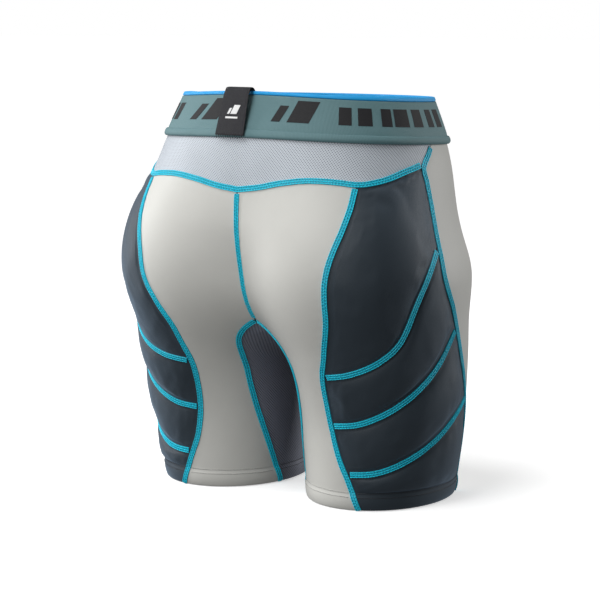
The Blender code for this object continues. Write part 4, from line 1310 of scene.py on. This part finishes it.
# ---- materials ----
class Finish:
    """A material and a short way to add nodes to it."""

    def __init__(self, name, roughness, specular=0.4):
        self.material = bpy.data.materials.new(name)
        self.material.use_nodes = True
        self.tree = self.material.node_tree
        self.shader = self.tree.nodes["Principled BSDF"]
        self.shader.inputs["Roughness"].default_value = roughness
        self.shader.inputs["Specular IOR Level"].default_value = specular

    def add(self, kind, inputs, **settings):
        node = self.tree.nodes.new("ShaderNode" + kind)
        for key, value in settings.items():
            setattr(node, key, value)
        for key, value in inputs.items():
            self.put(node.inputs[key], value)
        return node.outputs[0]

    def put(self, socket, value):
        if isinstance(value, bpy.types.NodeSocket):
            self.tree.links.new(value, socket)
        else:
            socket.default_value = value

    def math(self, operation, a, b=0.0):
        return self.add("Math", {0: a, 1: b}, operation=operation)

    def set(self, name, value):
        self.put(self.shader.inputs[name], value)

    def sheen(self, weight, roughness, tint):
        self.shader.inputs["Sheen Weight"].default_value = weight
        self.shader.inputs["Sheen Roughness"].default_value = roughness
        self.shader.inputs["Sheen Tint"].default_value = (*tint, 1.0)

    def cloth_axes(self):
        """The cloth's own coordinates in metres, along the row and up it."""
        uv = self.add("UVMap", {}, uv_map="Cloth")
        split = self.tree.nodes.new("ShaderNodeSeparateXYZ")
        self.tree.links.new(uv, split.inputs[0])
        return split.outputs[0], split.outputs[1]

    def place(self):
        """The piece's own coordinates in metres."""
        return self.tree.nodes.new("ShaderNodeTexCoord").outputs["Object"]

    def noise(self, vector, scale, detail=3.0):
        return self.add("TexNoise", {"Vector": vector, "Scale": scale, "Detail": detail})

    def wave(self, axis, pitch, shift=0.0):
        turned = self.math("MULTIPLY", axis, 2 * math.pi / pitch)
        return self.math("SINE", self.math("ADD", turned, shift))

    def ramp(self, value, low, high, start=0.0, end=1.0):
        """Value from low to high becomes start to end, held beyond them."""
        places = {"Value": value, "From Min": low, "From Max": high, "To Min": start, "To Max": end}
        return self.add("MapRange", places, clamp=True)

    def mix(self, share, first, second):
        node = self.tree.nodes.new("ShaderNodeMix")
        node.data_type = "RGBA"
        colours = [s for s in node.inputs if s.type == "RGBA"]
        self.put(node.inputs[0], share)
        for socket, value in zip(colours, (first, second)):
            self.put(socket, value if isinstance(value, bpy.types.NodeSocket) else (*value, 1.0))
        return [s for s in node.outputs if s.type == "RGBA"][0]

    def mottled(self, spot, scale, colour, low, high):
        """Colour that drifts between a darker and a lighter shade."""
        share = self.ramp(self.noise(spot, scale), 0.3, 0.7)
        return self.mix(share, scaled(colour, low), scaled(colour, high))

    def bump(self, height, strength, distance):
        places = {"Height": height, "Strength": strength, "Distance": distance}
        self.set("Normal", self.add("Bump", places))


def scaled(colour, factor):
    return tuple(min(c * factor, 1.0) for c in colour)


def tricot(name, colour, roughness, sheen):
    """Smooth stretch knit: fine upright wales, a satin face and slight unevenness."""
    f = Finish(name, roughness, 0.28)
    u, v = f.cloth_axes()
    spot = f.place()
    wales = f.wave(u, KNIT_PITCH)
    loops = f.wave(v, KNIT_PITCH * 0.8)
    crossed = f.math("MULTIPLY", wales, loops)
    knit = f.math("ADD", f.math("MULTIPLY", wales, 0.6), f.math("MULTIPLY", crossed, 0.4))
    fuzz = f.noise(spot, 900.0, 2.0)
    base = f.mottled(spot, 18.0, colour, 0.95, 1.04)
    shaded = f.mix(f.ramp(knit, -1.0, 1.0), scaled(colour, 0.86), scaled(colour, 1.08))
    f.set("Base Color", f.mix(0.45, base, shaded))
    f.set("Roughness", f.ramp(fuzz, 0.3, 0.7, roughness - 0.05, roughness + 0.07))
    f.bump(f.math("ADD", knit, f.math("MULTIPLY", fuzz, 0.7)), 0.25, 0.06 * MM)
    f.sheen(*sheen)
    return f.material


def open_mesh(name, thread_colour, hole_colour, sheen, roughness=0.52):
    """Knitted mesh: staggered holes between slightly raised threads."""
    f = Finish(name, roughness)
    u, v = f.cloth_axes()
    spot = f.place()
    holes = f.math("MULTIPLY", f.wave(u, HOLE_PITCH), f.wave(v, HOLE_PITCH * 1.1))
    fuzz = f.noise(spot, 1100.0, 2.0)
    threads = f.mottled(spot, 25.0, thread_colour, 0.95, 1.05)
    f.set("Base Color", f.mix(f.ramp(holes, 0.15, 0.75), threads, hole_colour))
    f.set("Roughness", f.ramp(fuzz, 0.3, 0.7, roughness - 0.06, roughness + 0.06))
    raised = f.math("SUBTRACT", f.math("MULTIPLY", fuzz, 0.4), f.math("MAXIMUM", holes, 0.0))
    f.bump(raised, 0.6, 0.25 * MM)
    f.sheen(*sheen)
    return f.material


def ribbed(name, colour, roughness, pitches):
    """Woven elastic: upright ribs crossed by finer courses."""
    f = Finish(name, roughness)
    u, v = f.cloth_axes()
    spot = f.place()
    ribs = f.wave(u, pitches[0])
    courses = f.wave(v, pitches[1])
    weave = f.math("ADD", f.math("MULTIPLY", ribs, 0.65), f.math("MULTIPLY", courses, 0.35))
    fuzz = f.noise(spot, 1000.0, 2.0)
    base = f.mottled(spot, 30.0, colour, 0.93, 1.06)
    shaded = f.mix(f.ramp(weave, -1.0, 1.0), scaled(colour, 0.72), scaled(colour, 1.18))
    f.set("Base Color", f.mix(0.55, base, shaded))
    f.set("Roughness", f.ramp(fuzz, 0.3, 0.7, roughness - 0.05, roughness + 0.07))
    f.bump(f.math("ADD", weave, f.math("MULTIPLY", fuzz, 0.6)), 0.5, 0.18 * MM)
    f.sheen(0.06, 0.4, (0.9, 0.93, 1.0))
    return f.material


def spun(name, colour, roughness, painted_shade_factor=0.35):
    """Sewing thread with a fibrous surface and painted shade: darker where it lies deep in the seam."""
    f = Finish(name, roughness, 0.5)
    spot = f.place()
    read = f.tree.nodes.new("ShaderNodeAttribute")
    read.attribute_name = "light_share"
    light_share = read.outputs["Fac"]
    fibre = f.noise(spot, 1800.0, 3.0)
    uneven = f.noise(spot, 60.0)
    lit = f.mix(f.ramp(fibre, 0.3, 0.7), scaled(colour, 0.80), scaled(colour, 1.15))
    lit = f.mix(f.ramp(uneven, 0.3, 0.7, 0.0, 0.35), lit, scaled(colour, 0.85))
    # painted shade: where the share of light is low the colour falls to the shade factor times the
    # thread colour
    f.set("Base Color", f.mix(f.ramp(light_share, 0.3, 1.0), scaled(colour, painted_shade_factor), lit))
    f.set("Roughness", f.ramp(fibre, 0.3, 0.7, roughness - 0.08, roughness + 0.1))
    f.bump(fibre, 0.5, 0.12 * MM)
    return f.material


def porous(name, colour):
    """Open-cell foam."""
    f = Finish(name, 0.9, 0.2)
    spot = f.place()
    cells = f.add("TexVoronoi", {"Vector": spot, "Scale": 900.0})
    base = f.mottled(spot, 40.0, colour, 0.92, 1.05)
    f.set("Base Color", f.mix(f.ramp(cells, 0.0, 0.5), scaled(colour, 0.6), base))
    f.set("Roughness", f.ramp(cells, 0.0, 0.6, 0.95, 0.8))
    f.bump(cells, 0.6, 0.3 * MM)
    return f.material


def finishes():
    silver = (0.9, 0.93, 1.0)
    blue = (0.55, 0.75, 1.0)
    return {
        "light": tricot("light_spandex", (0.575, 0.572, 0.540), 0.50, (0.15, 0.40, silver)),
        "pad": tricot("pad_cover_fabric", (0.024, 0.034, 0.044), 0.56, (0.45, 0.45, blue)),
        "lining": tricot("pad_lining_fabric", (0.020, 0.022, 0.026), 0.6, (0.2, 0.5, silver)),
        "yoke": open_mesh("yoke_mesh", (0.50, 0.54, 0.59), (0.16, 0.18, 0.21), (0.15, 0.4, silver)),
        "gusset": open_mesh("gusset_mesh", (0.21, 0.22, 0.27), (0.035, 0.036, 0.046), (0.15, 0.4, blue)),
        "band": ribbed("waistband_fabric", (0.105, 0.205, 0.222), 0.62, (1.3 * MM, 0.9 * MM)),
        "edge": ribbed("waistband_edge", (0.003, 0.36, 0.80), 0.5, (0.9 * MM, 1.4 * MM)),
        "label": ribbed("label_ribbon", (0.009, 0.009, 0.013), 0.7, (0.8 * MM, 0.5 * MM)),
        # the last number is the painted shade factor for the seam's core
        "seam": spun("seam_thread", (0.008, 0.70, 0.95), 0.45, 0.45),
        "hem_light": spun("hem_thread_light", (0.42, 0.42, 0.40), 0.5),
        "hem_dark": spun("hem_thread_dark", (0.030, 0.036, 0.045), 0.5),
        "mark": spun("band_mark", (0.005, 0.005, 0.007), 0.75),
        "label_mark": spun("label_mark", (0.80, 0.80, 0.80), 0.5),
        "tack": spun("bartack_thread", (0.012, 0.012, 0.015), 0.5),
        "foam": porous("pad_foam", (0.80, 0.78, 0.70)),
    }


# ---- stage, lights and camera ----
def floor():
    mesh = bpy.data.meshes.new("floor")
    reach = 30.0
    corners = [(-reach, -reach), (reach, -reach), (reach, reach), (-reach, reach)]
    mesh.from_pydata([(x, y, FLOOR_LEVEL) for x, y in corners], [], [(0, 1, 2, 3)])
    f = Finish("floor_paper", 0.9, 0.1)
    grain = f.noise(f.place(), 6.0)
    f.set("Base Color", f.mix(f.ramp(grain, 0.3, 0.7), (0.80, 0.80, 0.80), (0.82, 0.82, 0.82)))
    f.set("Emission Color", (1.0, 1.0, 1.0, 1.0))
    f.set("Emission Strength", FLOOR_GLOW)
    mesh.materials.append(f.material)
    ob = linked("floor", mesh)
    ob.visible_diffuse = False
    ob.visible_glossy = False


def aimed(name, data, azimuth, elevation, distance):
    """New object that looks at the target; the azimuth is 0 in front of the wearer."""
    a = math.radians(azimuth)
    e = math.radians(elevation)
    way = Vector((math.sin(a) * math.cos(e), -math.cos(a) * math.cos(e), math.sin(e)))
    ob = linked(name, data)
    ob.location = Vector(TARGET) + way * distance
    ob.rotation_euler = (Vector(TARGET) - ob.location).to_track_quat("-Z", "Y").to_euler()
    return ob


def softbox(name, azimuth, elevation, distance, width, power):
    light = bpy.data.lights.new(name, "AREA")
    light.shape = "RECTANGLE"
    light.size = width
    light.size_y = SOFTBOX_HEIGHT
    light.energy = power
    aimed(name, light, azimuth, elevation, distance)


def sun(azimuth, elevation, strength, angle):
    light = bpy.data.lights.new("sky", "SUN")
    light.energy = strength
    light.angle = math.radians(angle)
    aimed("sky", light, azimuth, elevation, 3.0)


def lights():
    sun(*SUN)
    for box in SOFTBOXES:
        softbox(*box)


def backdrop():
    """White world, brighter where the camera sees it than for the light it gives."""
    world = bpy.data.worlds.new("studio")
    world.use_nodes = True
    nodes = world.node_tree.nodes
    ray = nodes.new("ShaderNodeLightPath").outputs["Is Camera Ray"]
    share = nodes.new("ShaderNodeMapRange")
    share.inputs["To Min"].default_value = WORLD_STRENGTH
    share.inputs["To Max"].default_value = BACKDROP_STRENGTH
    world.node_tree.links.new(ray, share.inputs["Value"])
    back = nodes["Background"]
    back.inputs["Color"].default_value = (1.0, 1.0, 1.0, 1.0)
    world.node_tree.links.new(share.outputs["Result"], back.inputs["Strength"])
    bpy.context.scene.world = world


def camera():
    data = bpy.data.cameras.new("camera")
    data.sensor_width = 36.0
    data.lens = FOCAL_LENGTH
    data.shift_x = CAMERA_SHIFT[0]
    data.shift_y = CAMERA_SHIFT[1]
    place = (CAMERA_AZIMUTH, CAMERA_ELEVATION, CAMERA_DISTANCE)
    bpy.context.scene.camera = aimed("camera", data, *place)


def build():
    looks = finishes()
    for word, side in SIDES:
        back_panel(side, word, looks["light"])
        front_panel(side, word, looks["light"])
    back_yoke(looks["yoke"])
    gusset(looks["gusset"])
    pads(looks)
    seams(looks["seam"])
    hem_stitches(looks)
    waistband(looks["band"])
    top_edge(looks["edge"])
    band_marks(looks["mark"])
    loop_label(looks["label"], looks["label_mark"], looks["tack"])
    floor()
    lights()
    backdrop()
    camera()
    bpy.context.scene.view_settings.view_transform = "Standard"


build()
